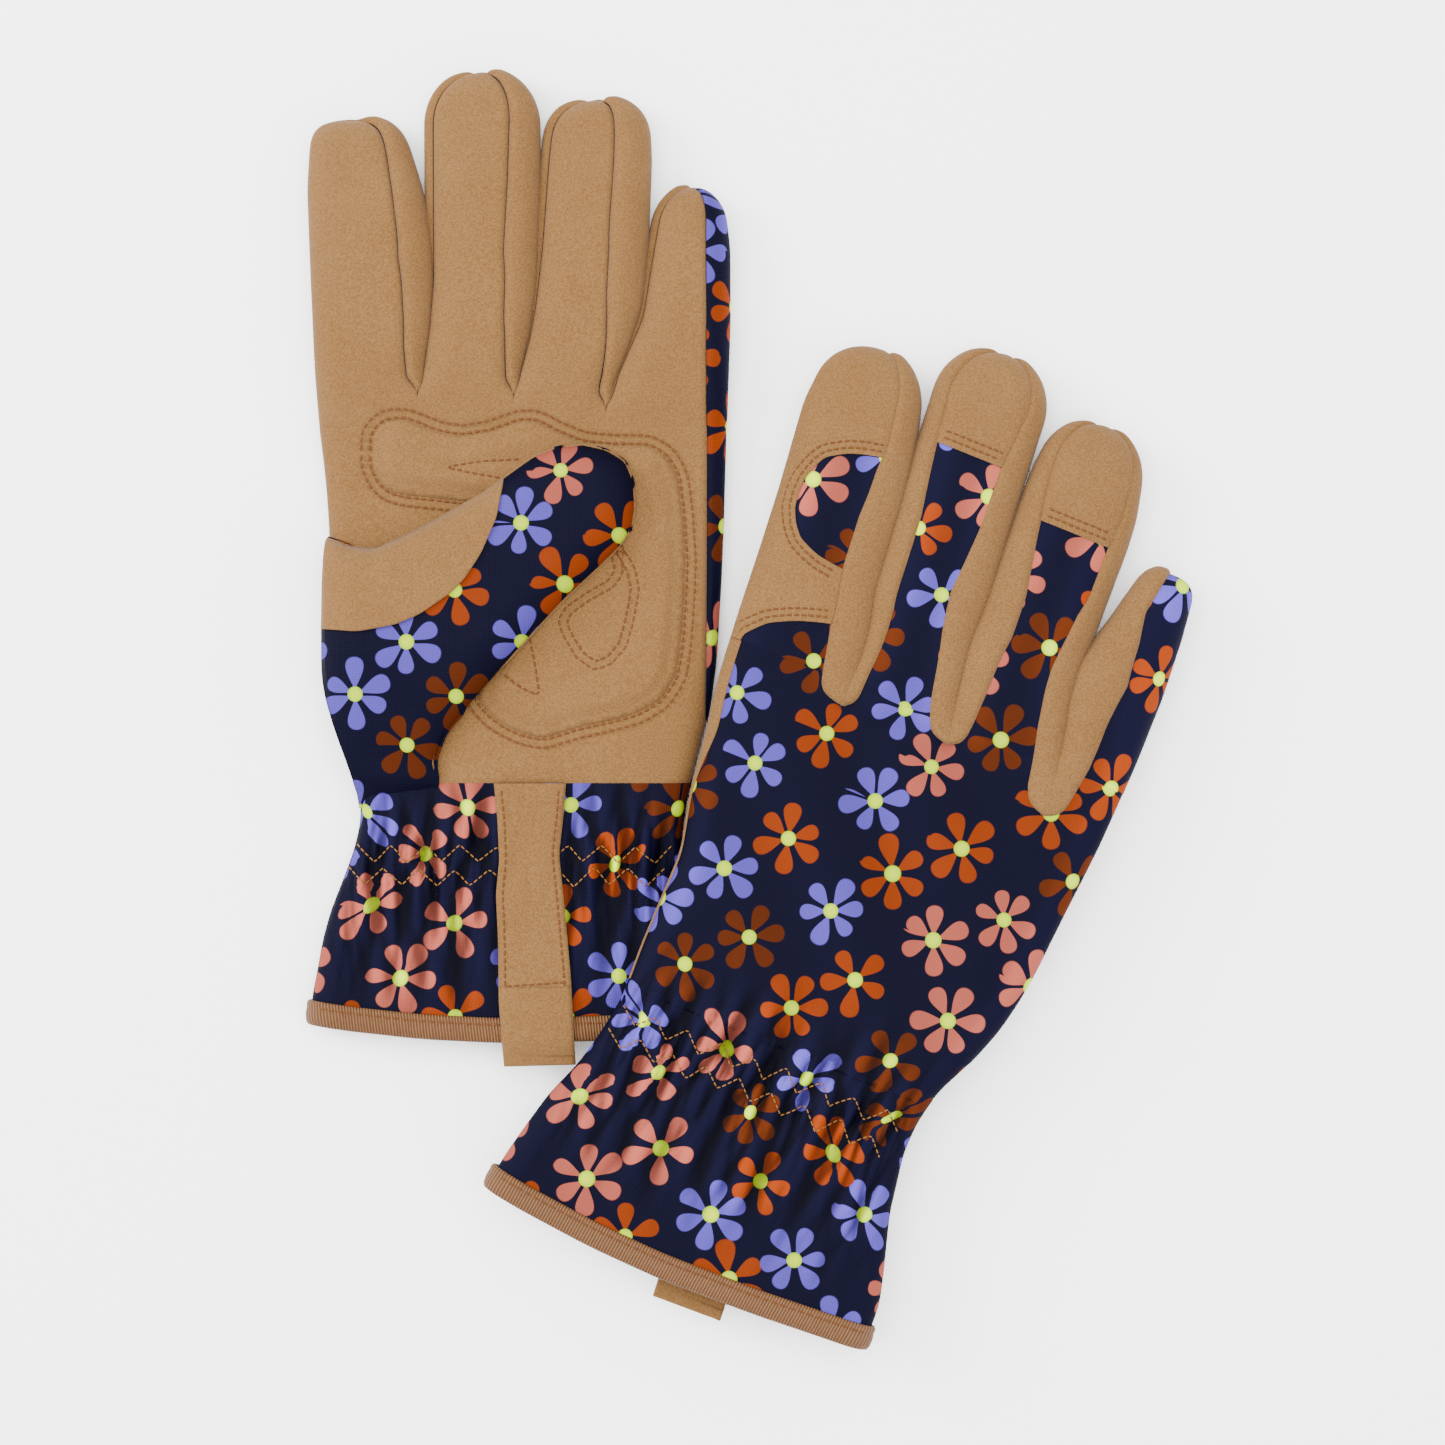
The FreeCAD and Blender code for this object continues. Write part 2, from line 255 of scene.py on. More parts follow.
def flowers(tree, place, offset):
    """One layer: the cell number seeds its flower; the petal's mask = (across / (spread x along))^2 +
    ((along - middle) / half length)^2 below 1, in each of the equal sectors round the eye."""
    moved = tree.vector("ADD", place, (offset, offset, 0))
    cells = tree.vector("MULTIPLY", moved, (1 / CELL, 1 / CELL, 0))
    number = tree.vector("FLOOR", cells, (0, 0, 0))
    seed = tree.put("ShaderNodeTexWhiteNoise", {"Vector": number, "W": offset + 3.0}, noise_dimensions="4D")
    toss = tree.put("ShaderNodeSeparateColor", {0: seed.outputs["Color"]})
    part = tree.put("ShaderNodeSeparateXYZ", {0: tree.vector("SUBTRACT", cells, number)})

    def from_middle(share, random):
        middle = tree.sum("MULTIPLY_ADD", random, SHIFT, -SHIFT / 2)
        return tree.sum("SUBTRACT", tree.sum("MULTIPLY_ADD", share, CELL, -CELL / 2), middle)

    across = from_middle(part.outputs[0], toss.outputs[0])
    along = from_middle(part.outputs[1], toss.outputs[1])
    size = tree.sum("MULTIPLY_ADD", toss.outputs[2], 0.16, 0.92)
    squares = tree.sum("ADD", tree.sum("MULTIPLY", across, across), tree.sum("MULTIPLY", along, along))
    reach_of_eye = tree.sum("DIVIDE", tree.sum("SQRT", squares), size)
    # Each flower is turned by a random part of a circle, two circles ahead so that the angle is positive.
    turn = tree.sum("MULTIPLY_ADD", seed.outputs["Value"], 6.28, 12.57)
    angle = tree.sum("ADD", tree.sum("ARCTAN2", along, across), turn)
    # One toss in three numbers also picks the colour and whether the flower has one petal fewer.
    pick = tree.sum("MULTIPLY_ADD", toss.outputs[2], 5.7, tree.sum("MULTIPLY", toss.outputs[1], 3.3))
    pick = tree.sum("FRACT", pick)
    fewer = tree.sum("GREATER_THAN", tree.sum("FRACT", tree.sum("MULTIPLY", toss.outputs[0], 9.7)), 0.72)
    sector = tree.sum("DIVIDE", 2 * math.pi, tree.sum("SUBTRACT", PETALS, fewer))
    which = tree.sum("FLOOR", tree.sum("DIVIDE", angle, sector))
    petal_seed = tree.put("ShaderNodeTexWhiteNoise", {"Vector": number, "W": which}, noise_dimensions="4D")
    own = tree.put("ShaderNodeSeparateColor", {0: petal_seed.outputs["Color"]})
    lean = tree.sum("MULTIPLY_ADD", own.outputs[0], 0.3, -0.15)
    from_axis = tree.sum("SUBTRACT", tree.sum("MODULO", angle, sector), tree.sum("MULTIPLY", sector, 0.5))
    swing = tree.sum("ADD", from_axis, lean)
    reach = tree.sum("DIVIDE", reach_of_eye, tree.sum("MULTIPLY_ADD", own.outputs[1], 0.2, 0.88))
    px = tree.sum("MULTIPLY", reach, tree.sum("COSINE", swing))
    py = tree.sum("MULTIPLY", reach, tree.sum("SINE", swing))
    wide = tree.sum("DIVIDE", py, tree.sum("MULTIPLY", px, PETAL_SPREAD))
    long = tree.sum("DIVIDE", tree.sum("SUBTRACT", px, PETAL_MIDDLE), PETAL_HALF)
    egg = tree.sum("ADD", tree.sum("MULTIPLY", wide, wide), tree.sum("MULTIPLY", long, long))
    petal = tree.ramp(egg, 1.08, 0.92)
    eye = tree.ramp(reach_of_eye, EYE + 0.12, EYE - 0.12)
    colour = FLOWER_COLOURS[0]
    for step, other in enumerate(FLOWER_COLOURS[1:], 1):
        colour = tree.mix(tree.sum("GREATER_THAN", pick, step / len(FLOWER_COLOURS)), colour, other)
    heart = tree.mix(tree.ramp(reach_of_eye, 0.9, EYE), HEART_MIDDLE, HEART_RIM)
    return petal, eye, colour, heart


def print_finish():
    """Navy ground, then each layer's petals and eyes, with the knit's loops as bump and faint shade. The
    cloth's relief paints a highlight on its crests and shade in its valleys: colour x (1 + shade x relief)."""
    tree = Tree("floral_print")
    flat = tree.put("ShaderNodeUVMap", uv_map="cloth").outputs[0]
    place = tree.vector("MULTIPLY", flat, (UV_UNIT, UV_UNIT, 0))
    part = tree.put("ShaderNodeSeparateXYZ", {0: place})
    wales = tree.sum("SINE", tree.sum("MULTIPLY", part.outputs[0], 2 * math.pi / WALE))
    courses = tree.sum("SINE", tree.sum("MULTIPLY", part.outputs[1], 2 * math.pi / COURSE))
    knit = tree.sum("MULTIPLY_ADD", tree.sum("ADD", wales, courses), 0.25, 0.5)
    colour = tree.mix(knit, linear(4, 5, 17), linear(28, 27, 56))
    for offset in (0.0, CELL / 2):
        petal, eye, own, heart = flowers(tree, place, offset)
        shaded = tree.mix(tree.sum("MULTIPLY", knit, 0.26), own, linear(40, 30, 36))
        colour = tree.mix(petal, colour, shaded)
        colour = tree.mix(eye, colour, heart)
    # Painted light on the folds: crests get a painted highlight and valleys painted shade, colour x (1 +
    # FOLD_SHADE x relief).
    painted_fold_shading = tree.put("ShaderNodeAttribute", attribute_name="painted_fold_shading").outputs["Fac"]
    light = tree.sum("MULTIPLY_ADD", painted_fold_shading, FOLD_SHADE, 1.0)
    colour = tree.put("ShaderNodeVectorMath", {0: colour, "Scale": light}, operation="SCALE").outputs[0]
    tree.colour(colour)
    tree.bump(knit, 0.00012, 0.5)
    tree.set(Roughness=0.62)
    tree.set(Specular_IOR_Level=0.03)
    return tree.material


PRINT = print_finish()
print("print is drawn on", len(PRINT.node_tree.nodes), "nodes")

# %% Binding, elastic and threads


def ribbed_finish(name, light, dark, pitch, strength):
    """Ribs = a sine across the band's length, darker in the grooves: painted shade."""
    tree = Tree(name)
    flat = tree.put("ShaderNodeUVMap", uv_map="cloth").outputs[0]
    part = tree.put("ShaderNodeSeparateXYZ", {0: flat})
    lean = tree.sum("MULTIPLY_ADD", part.outputs[1], 0.12, part.outputs[0])
    wave = tree.sum("SINE", tree.sum("MULTIPLY", lean, 2 * math.pi * UV_UNIT / pitch))
    ribs = tree.sum("MULTIPLY_ADD", wave, 0.5, 0.5)
    fuzz = tree.noise(tree.put("ShaderNodeTexCoord").outputs["Object"], 900)
    # The dark colour is painted shade in the grooves, mixed with a random fuzz; the light colour is the ribs'
    # tops.
    tree.colour(tree.mix(tree.sum("MULTIPLY_ADD", fuzz, 0.3, tree.sum("MULTIPLY", ribs, 0.7)), dark, light))
    tree.bump(ribs, 0.0004, strength)
    tree.set(Roughness=0.6)
    tree.set(Specular_IOR_Level=0.2)
    return tree.material


# Each tape's second colour is the painted shade of its grooves.
BINDING = ribbed_finish("binding_tape", linear(198, 152, 116), linear(96, 58, 34), 0.75, 1.0)
ELASTIC = ribbed_finish("elastic", linear(60, 58, 80), linear(28, 28, 44), 1.2, 0.6)


def thread_finish(name, light, dark):
    """Twisted thread: fine noise between two browns."""
    tree = Tree(name)
    twist = tree.noise(tree.put("ShaderNodeTexCoord").outputs["Object"], 2200)
    tree.colour(tree.mix(twist, dark, light))
    tree.bump(twist, 0.0001, 0.5)
    tree.set(Roughness=0.6)
    tree.set(Specular_IOR_Level=0.2)
    return tree.material


BROWN_THREAD = thread_finish("brown_thread", linear(150, 98, 54), linear(118, 72, 36))
TAN_THREAD = thread_finish("tan_thread", linear(196, 150, 104), linear(150, 104, 66))
SLOTS = {"suede": SUEDE, "floral_print": PRINT, "binding_tape": BINDING, "elastic": ELASTIC,
         "brown_thread": BROWN_THREAD, "tan_thread": TAN_THREAD}

# %% [markdown]
# The shape. Each glove has its own edges, because one lies open and the other is pressed together. A
# finger or hand is a flattened tube: its plan edges give the width, and its depth rises from each edge as
# a quarter circle. Between fingers the quarter circle fades in from the crotch, so that the palm runs
# on into the fingers without a step.

# %% Curves that everything is drawn from


def curve(points, blur=2.0):
    """A smooth function through (y, x) points: straight runs, carried on straight past both ends, and
    rounded by a short moving average with bell-shaped weights exp(-(distance / blur)^2 / 2)."""
    step, reach = 0.25, 24
    table = np.array(sorted(points), float)
    fine = np.arange(table[0, 0] - 12, table[-1, 0] + 12, step)
    slope_low = (table[1, 1] - table[0, 1]) / (table[1, 0] - table[0, 0])
    slope_high = (table[-1, 1] - table[-2, 1]) / (table[-1, 0] - table[-2, 0])
    value = np.interp(fine, table[:, 0], table[:, 1])
    value += np.minimum(fine - table[0, 0], 0) * slope_low + np.maximum(fine - table[-1, 0], 0) * slope_high
    weight = np.exp(-0.5 * (np.arange(-reach, reach + 1) * step / blur) ** 2)
    padded = np.pad(value, reach, mode="reflect", reflect_type="odd")
    soft = np.convolve(padded, weight / weight.sum(), mode="valid")
    return lambda y: np.interp(y, fine, soft)


def smooth(value, low, high):
    """0 below low, 1 above high, and an S between."""
    t = np.clip((value - low) / (high - low), 0, 1)
    return t * t * (3 - 2 * t)


def quarter(q):
    """The height of a quarter circle of radius 1 at distance q from its foot."""
    return np.sqrt(np.maximum(1 - (1 - np.clip(q, 0, 1)) ** 2, 0))


HAND = {
    "left": (curve([(-46, -51.9), (-35, -51.7), (-27.5, -50.2), (-20, -48.9), (-12.5, -46.8), (-5, -43.8),
                    (2.5, -41.0), (10, -39.3), (17.5, -39.6), (25, -42), (32.5, -44.7), (40, -47),
                    (47.5, -48.4),
                    (57, -48.4), (70, -48), (80, -47), (92.5, -47.8), (100, -48.6), (110, -49.8)]),
             curve([(-46, 50.6), (-39.6, 50.4), (-30, 49.4), (-20, 47.2), (-10, 43.9), (-2, 41.9), (5, 41.5),
                    (14, 42.6), (27.5, 46), (37.5, 48.5), (50, 50.2), (70, 51.4), (85, 52), (110, 52.7)])),
    "right": (curve([(-46, -52), (-40.3, -51.7), (-31.7, -50.4), (-22.7, -48.3), (-13.7, -46), (-4, -42),
                     (6, -39.6), (15, -38.2), (29.5, -38.6), (54, -38.2), (69, -41.6), (84.5, -43.5),
                     (94.6, -45.3), (102.5, -46.2), (112, -46.9)]),
              curve([(-46, 50.6), (-39.6, 50.2), (-31.6, 49.9), (-24.3, 48), (-17, 45.9), (-9.8, 43.8),
                     (-2, 42.6), (5.5, 41.4), (13.7, 41.7), (22.5, 43.7), (32.7, 48.6), (42.1, 52),
                     (50.9, 53.9), (59.4, 55), (76.1, 56.3), (93, 57.8), (109.4, 58.5), (114, 58.8)])),
}
CREASES = {
    "left": [curve([(90, -24.5), (117, -24.5), (124, -24)]), curve([(90, -0.5), (116.5, -0.5), (124, -0.2)]),
             curve([(90, 22.5), (113.3, 22.5), (119, 23.4), (124, 25)])],
    "right": [curve([(90, -14.9), (104.9, -14.9), (115.8, -14.8), (122.7, -15.3), (132.5, -17.9),
                     (144.4, -19.4), (154.2, -19.6)]),
              curve([(90, 13), (103, 13), (108.7, 12.4), (112.4, 11.3), (119.5, 10.4), (128.8, 9),
                     (138.9, 9.2)]),
              curve([(90, 42), (96, 41.8), (100.6, 41.5), (105.9, 40.9), (115.8, 39.4), (124.7, 37.2),
                     (133.8, 36.4)])],
}
FINGER_EDGES = {
    "left": {
        "index": ([(100, -48.6), (109, -49.6), (121, -50.5), (145, -51.6), (168, -52.5), (177, -52),
                   (186, -51.4)],
                  [(100, -24.5), (117, -24.5), (121, -24), (133, -22.4), (145, -21.7), (155, -22.4),
                   (168, -25), (177, -27.8), (186, -31)], 185.2, 9, -41.2, 3.4),
        "middle": ([(100, -24.5), (117, -24.5), (121, -24.2), (133, -22.6), (145, -21.6), (168, -21.7),
                    (198, -21.9)],
                   [(100, -0.5), (116.5, -0.5), (121, 0), (133, 2.6), (145, 4), (168, 4.6), (198, 4.3)],
                   197.3, 13.5, -8.6, 2.1),
        "ring": ([(100, -0.5), (116.5, -0.5), (121, 0), (130, 2.4), (139, 4), (153, 5.6), (175, 7.2),
                  (191, 9)],
                 [(100, 22.5), (113.3, 22.5), (119, 23.4), (128, 27), (139, 30.4), (153, 31.6), (175, 32.5),
                  (191, 31.8)], 190.3, 10.5, 20.6, 2.5),
        "little": ([(100, 22.5), (113.3, 22.5), (121, 24.4), (135.5, 30.8), (153, 33.7), (160, 35),
                    (169, 37)],
                   [(100, 52.3), (109, 52.8), (121, 53.2), (135.5, 53.7), (153, 53.6), (160, 52.8),
                    (169, 51.5)],
                   168.5, 9, 44.3, 2.2),
    },
    "right": {
        "index": ([(100, -46), (115.2, -47.2), (131, -48.2), (146.8, -49.4), (162.3, -51), (170, -51.8),
                   (180, -51), (189, -50)],
                  [(154.2, -19.6), (163, -21.3), (173.3, -23.7), (178.2, -25),
                   (189, -27.5)], 188.6, 12, -37.5, 2.3),
        "middle": ([(154.2, -19.6), (165, -20.3), (176.4, -20.8), (186, -21.6), (199, -21.4)],
                   [(138.9, 9.2), (147, 8.4), (155.4, 7.3), (170, 5.8), (184.7, 4.8),
                    (199, 4)], 199.2, 13, -8.6, 2.1),
        "ring": ([(138.9, 9.2), (159.5, 8.9), (175.6, 8.8), (184, 9.6), (192, 10.4)],
                 [(133.8, 36.4), (156.9, 35.9), (164.9, 35.8), (172.8, 35.2), (182.7, 33), (192, 31.5)],
                 191.8, 11.5, 21, 2.2),
        "little": ([(133.8, 36.4), (140, 38.2), (147.9, 40.5), (160.5, 43.6), (165, 44.5)],
                   [(100, 58.2), (118, 59), (133.9, 59.1), (149.7, 58.2), (160, 57),
                    (165, 56.4)], 164, 6, 50, 2.8),
    },
}
EDGES = {}
for side in SIDES:
    for place, finger in enumerate(FINGERS):
        low, high, tip, cap, tip_x, square = FINGER_EDGES[side][finger]
        near = CREASES[side]
        if side == "right":
            low = low if place == 0 else [(y, float(near[place - 1](y))) for y in range(96, 134, 4)] + low
            high = high if place == 3 else [(y, float(near[place](y))) for y in range(96, 134, 4)] + high
        EDGES[side, finger] = (curve(low, 1.5), curve(high, 1.5), tip, cap, tip_x, square)
PALM_CROTCH = (117.0, 116.5, 113.3)
BACK_FADE = (100.0, 117.0)
HAND_DEPTH, FINGER_DEPTH = 8.0, 12.0
EDGE_ROUND, CREASE_ROUND, TIP_ROUND = 6.0, 6.5, 7.0
KNUCKLE = 108.2


def crease_strength(place, y, palm):
    """How far the valley beside a finger has opened: none at the hand, whole above the crotch."""
    opened = smooth(y, PALM_CROTCH[place] - 3, PALM_CROTCH[place] + 7)
    return np.where(palm, opened, 0.85 * smooth(y, *BACK_FADE) + 0.15 * smooth(y, 122, 140))


def depth_at(y):
    """The glove's depth over the outside: hand, growing to the fingers' depth, a little less at the tips."""
    return HAND_DEPTH + (FINGER_DEPTH - HAND_DEPTH) * smooth(y, 98, 128) - 1.5 * smooth(y, 150, 195)


def finger_edges(side, finger, y):
    """The two plan edges, drawn in towards the tip as a rounded square: (1 - s^n)^(1/n)."""
    low, high, tip, cap, tip_x, square = EDGES[side, finger]
    s = np.clip((y - (tip - cap)) / cap, 0, 1)
    closing = (1 - s ** square) ** (1 / square)
    return tip_x - (tip_x - low(y)) * closing, tip_x + (high(y) - tip_x) * closing


def finger_share(side, finger, x, y, palm):
    """How much of the finger's half depth stands at (x, y): the product of its two edges' quarter circles."""
    left, right = finger_edges(side, finger, y)
    place = FINGERS.index(finger)
    radius = CREASE_ROUND + 2.5 * smooth(y, 112, 135)
    radius = np.minimum(radius, 0.5 * (right - left) + 0.01)
    k_left = 1.0 if place == 0 else crease_strength(place - 1, y, palm)
    k_right = 1.0 if place == 3 else crease_strength(place, y, palm)
    share = 1 - k_left * (1 - quarter((x - left) / radius))
    return share * (1 - k_right * (1 - quarter((right - x) / radius)))


def finger_depth(side, finger, x, y, palm):
    """Half depth x share, above or below the middle of the finger, rounded off at the tip."""
    tip = EDGES[side, finger][2]
    half = 0.5 * depth_at(y)
    rounding = quarter((tip - y) / TIP_ROUND)
    share = finger_share(side, finger, x, y, palm) * rounding
    return half + np.where(palm, share, -share) * half


# %% [markdown]
# Gathers. Where the elastic pulls the wrist in, the print puckers into short folds that run along the
# arm and die away above and below. They are a sum of sines across the wrist whose phase wanders, so no
# two folds are alike. A much fainter sum bends the rest of the cloth.

# %% Folds
WAVES = [(rng.uniform(6.5, 15), rng.uniform(0, 6.28), rng.uniform(0.5, 1.0), rng.uniform(-0.06, 0.06))
         for wave in range(9)]
DRIFTS = [(rng.uniform(26, 60), rng.uniform(30, 70), rng.uniform(0, 6.28)) for wave in range(7)]
WRIST_Y = {"left": -1.0, "right": 8.5}
FOLD_HEIGHT, DRIFT_HEIGHT = 2.7, 0.45


def gathers(x, y):
    """Sum of |sine| ^ 0.75 of x: round hills and sharp valleys, leaning a little with y, strongest at the
    elastic (y = 0)."""
    total = 0.0
    for pitch, phase, weight, lean in WAVES:
        angle = math.pi * x / pitch + phase + lean * y + 0.5 * np.sin(y / 7 + phase)
        total = total + weight * (1.7 * np.abs(np.sin(angle)) ** 0.75 - 1.1)
    total = total / 2.6
    strength = np.exp(-np.abs(y / 11.0) ** 1.7) + 0.34 * np.exp(-((y + 15) / 16.0) ** 2)
    return total * strength


def drift(x, y):
    """Broad soft waves over the whole cloth."""
    return sum(np.sin(2 * math.pi * (x / px + y / py) + phase) for px, py, phase in DRIFTS) / 7


def hand_depth(side, x, y, palm):
    """The hand's depth with its two round edges, the valleys between the finger roots, and the folds."""
    left, right = HAND[side][0](y), HAND[side][1](y)
    half = 0.5 * depth_at(y)
    share = quarter((x - left) / EDGE_ROUND) * quarter((right - x) / EDGE_ROUND)
    for place, line in enumerate(CREASES[side]):
        valley = 1 - quarter(np.abs(x - line(y)) / CREASE_ROUND)
        share = share * (1 - crease_strength(place, y, palm) * valley)
    centre = np.clip(np.minimum(x - left, right - x) / 8, 0, 1)
    # The strap sewn on the palm side holds the cloth flat under it.
    centre = centre * np.where(palm, 1 - 0.85 * np.exp(-((x - 4) / 10.0) ** 4), 1.0)
    # The face that looks up is full of folds; the one that the glove lies on is pressed to a quarter.
    faces_up = np.where(palm == (side == "left"), 1.0, 0.25)
    folds = FOLD_HEIGHT * gathers(x, y - WRIST_Y[side]) + DRIFT_HEIGHT * drift(x, y)
    folds = folds * centre * faces_up * (1 - smooth(y, 92, 106))
    return half + np.where(palm, share * half + folds, -share * half - folds)


# %% [markdown]
# Panels. A panel is a piece of cloth on the tube between two seams: one parameter runs along the glove
# and the other round it, from seam to seam. Its edges are tucked in to make the seam's valley, and a
# gusset is puffed up between them. The cloth's own flat measure, needed by the print, is the length
# along each row, so the flowers aren't stretched where the cloth turns over an edge.

# %% Making a piece of cloth


def as_mesh(name, side, points, faces, uv, thickness, finish, nodes, body, painted_fold_shading=None):
    """Points carried to the table, faces wound outwards, doubles merged, wall grown inwards. The print's
    relief, where there is one, goes along as an attribute of the points, for its painted fold shading."""
    mesh = bpy.data.meshes.new(name)
    faces = faces if side == "left" else faces[:, ::-1]
    placed = to_table(side, points)
    mesh.from_pydata(placed.tolist(), [], faces.tolist())
    if uv is not None:
        layer = mesh.uv_layers.new(name="cloth")
        corner = np.empty(len(mesh.loops), np.int32)
        mesh.loops.foreach_get("vertex_index", corner)
        layer.data.foreach_set("uv", (uv[corner] / UV_UNIT).astype(np.float32).ravel())
    if painted_fold_shading is not None:
        mesh.attributes.new("painted_fold_shading", "FLOAT", "POINT").data.foreach_set("value", painted_fold_shading.astype(np.float32))
    mesh.shade_smooth()
    mesh.materials.append(SLOTS[finish])
    piece = bpy.data.objects.new(name, mesh)
    bpy.context.scene.collection.objects.link(piece)
    bpy.context.view_layer.objects.active = piece
    weld = piece.modifiers.new("weld", "WELD")
    weld.merge_threshold = 0.00001
    if thickness:
        wall = piece.modifiers.new("wall", "SOLIDIFY")
        wall.thickness, wall.offset = thickness * MM, -1
    for modifier in list(piece.modifiers):
        with bpy.context.temp_override(object=piece):
            bpy.ops.object.modifier_apply(modifier=modifier.name)
    if nodes:
        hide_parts(*nodes)
    settle(piece, side, body)
    return piece


# Where a bending piece would start to follow a body and where it would follow it wholly, as plan points with a
# depth.
BENDS = {"index": ((-38, 112, 6), (-38, 132, 6)), "middle": ((-12, 112, 6), (-12, 132, 6)),
         "ring": ((11, 112, 6), (11, 132, 6)), "little": ((38, 112, 6), (38, 132, 6)),
         "tab": ((4, -29, 8), (4, -36, 8)), "thumb": ((-47, 50, 9), (-28, 50, 9))}


def settle(piece, side, body):
    """Rides on its body; a piece with a bend has its bend's two ends worked out, and stays in place without a
    parent.
    """
    if body in BENDS:
        start, end = (Vector(to_table(side, np.array(point, float))) for point in BENDS[body])
        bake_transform(piece)
    else:
        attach(piece, side + "_" + body)


def grid_faces(rows, columns):
    """Quads of a rows x columns grid, numbered row by row."""
    i, j = np.meshgrid(np.arange(rows - 1), np.arange(columns - 1), indexing="ij")
    a = (i * columns + j).ravel()
    return np.stack([a, a + 1, a + columns + 1, a + columns], -1)


SEAM_WIDTH, HEEL_WIDTH, PUFF_FULL, PUFF_POWER, RELIEF_WHOLE = 0.7, 0.8, 5.0, 2.6, 0.34


def panel(name, side, tube, rows, start, finish_at, columns, finish, nodes, body,
          lift=0.0, puff=0.0, tuck=(0.5, 0.5), thickness=0.9, heel=0.0, opens=(None, None)):
    """tube(y, a) gives points; a runs from start(y) to finish_at(y). Then each point moves along the
    normal: lift + puff (1 - |v|^power) - tuck exp(-(distance to the seam / its width)^2), where v is -1 at
    one seam and 1 at the other. A seam's tuck fades in above its crotch, and heel tucks the first row."""
    u = np.linspace(0, 1, columns)
    low, high = start(rows), finish_at(rows)
    a = low[:, None] + (high - low)[:, None] * u[None, :]
    y = np.repeat(rows[:, None], columns, 1)
    points = tube(y, a)
    along_row = np.gradient(points, axis=1)
    along_column = np.gradient(points, axis=0)
    normal = np.cross(along_row, along_column)
    size = np.linalg.norm(normal, axis=-1, keepdims=True)
    normal = normal / np.maximum(size, 1e-6)
    step = np.linalg.norm(np.diff(points, axis=1), axis=-1)
    length = np.concatenate([np.zeros((len(rows), 1)), np.cumsum(step, 1)], 1)
    total = length[:, -1:]
    v = 2 * length / np.maximum(total, 1e-6) - 1
    offset = lift + puff * np.minimum(total / PUFF_FULL, 1) * (1 - np.abs(v) ** PUFF_POWER)
    for depth, away, crotch in ((tuck[0], length, opens[0]), (tuck[1], total - length, opens[1])):
        opened = 1.0 if crotch is None else smooth(y, crotch - 2, crotch + 3)
        offset = offset - depth * opened * np.exp(-(away / SEAM_WIDTH) ** 2)
    offset = offset - heel * np.exp(-((y - rows[0]) / HEEL_WIDTH) ** 2)
    points = points + normal * (offset * (size[..., 0] > 1e-5))[..., None]
    middle = columns // 2
    sign = np.where(points[:, -1:, 0] >= points[:, :1, 0], 1.0, -1.0)
    flat_x = (length - length[:, middle:middle + 1]) * sign + points[:, middle:middle + 1, 0]
    uv = np.stack([flat_x, points[..., 1]], -1).reshape(-1, 2)
    # The print's relief goes along to paint a highlight on each fold's crest and shade in its valley.
    painted_fold_shading = relief_of(points, normal) if finish == "floral_print" else None
    return as_mesh(name, side, points.reshape(-1, 3), grid_faces(len(rows), columns), uv, thickness, finish,
                   nodes, body, painted_fold_shading)


def relief_of(points, normal, reach=6):
    """How far each point stands proud of its row's moving average, along the normal: tanh(proud / whole),
    so nearly 1 on a crest and -1 in a valley, and 0 at the seams. It sets the print's painted highlight on
    crests and painted shade in valleys."""
    padded = np.pad(points, ((0, 0), (reach, reach), (0, 0)), mode="edge")
    window = 2 * reach + 1
    average = sum(padded[:, k:k + points.shape[1]] for k in range(window)) / window
    column = np.arange(points.shape[1])
    inside = smooth(column, 2, 14) * smooth(column[::-1], 2, 14)
    proud = ((points - average) * normal).sum(-1) * inside
    return np.tanh(proud / RELIEF_WHOLE).ravel()


def finger_tube(side, finger):
    """x = middle - half width cos a, depth from the finger's own section; a is 0 to pi on the palm."""
    def tube(y, a):
        left, right = finger_edges(side, finger, y)
        x = 0.5 * (left + right) - 0.5 * (right - left) * np.cos(a)
        return np.stack([x, y, finger_depth(side, finger, x, y, np.sin(a) > -1e-9)], -1)
    return tube


def hand_tube(side):
    """The same round the hand, between its own edges."""
    def tube(y, a):
        left, right = HAND[side][0](y), HAND[side][1](y)
        x = 0.5 * (left + right) - 0.5 * (right - left) * np.cos(a)
        return np.stack([x, y, hand_depth(side, x, y, np.sin(a) > -1e-9)], -1)
    return tube


def constant(value):
    """The same tube angle on every row."""
    return lambda y: np.full_like(y, value)


# The hem's lower edge, bowed down in the middle of the cuff, and the tape's height over it.
HEM = curve([(-54, -41.2), (-49, -41.6), (-44, -42.6), (-24, -44.8), (-4, -45.8), (22, -45.2), (50.5, -43.6),
             (54, -43.2)], 4)
BAND = 6.2
HEM_LEVEL, CUFF_LOW = -40.0, -41.8

# %% [markdown]
# The hand. The palm is one suede sheet from the heel up, the back is one printed sheet that turns over
# the little-finger side to the palm as a strip, and the wrist is print on both sides.

# %% Hand panels
HEEL_Y, STRIP_X = 18.6, 47.8


def angle_at(side, x, y, palm):
    """The tube angle where the hand's section passes plan x."""
    left, right = HAND[side][0](y), HAND[side][1](y)
    a = np.arccos(np.clip(((left + right) / 2 - x) / ((right - left) / 2), -1, 1))
    return a if palm else 2 * math.pi - a


def dense(low, high, step):
    """Even rows from low up to high itself."""
    return np.unique(np.append(np.arange(low, high, step), high))


def strip_edge(side):
    """The seam on the palm where the print's strip begins: a straight line along the glove."""
    return lambda y: angle_at(side, STRIP_X, y, True)


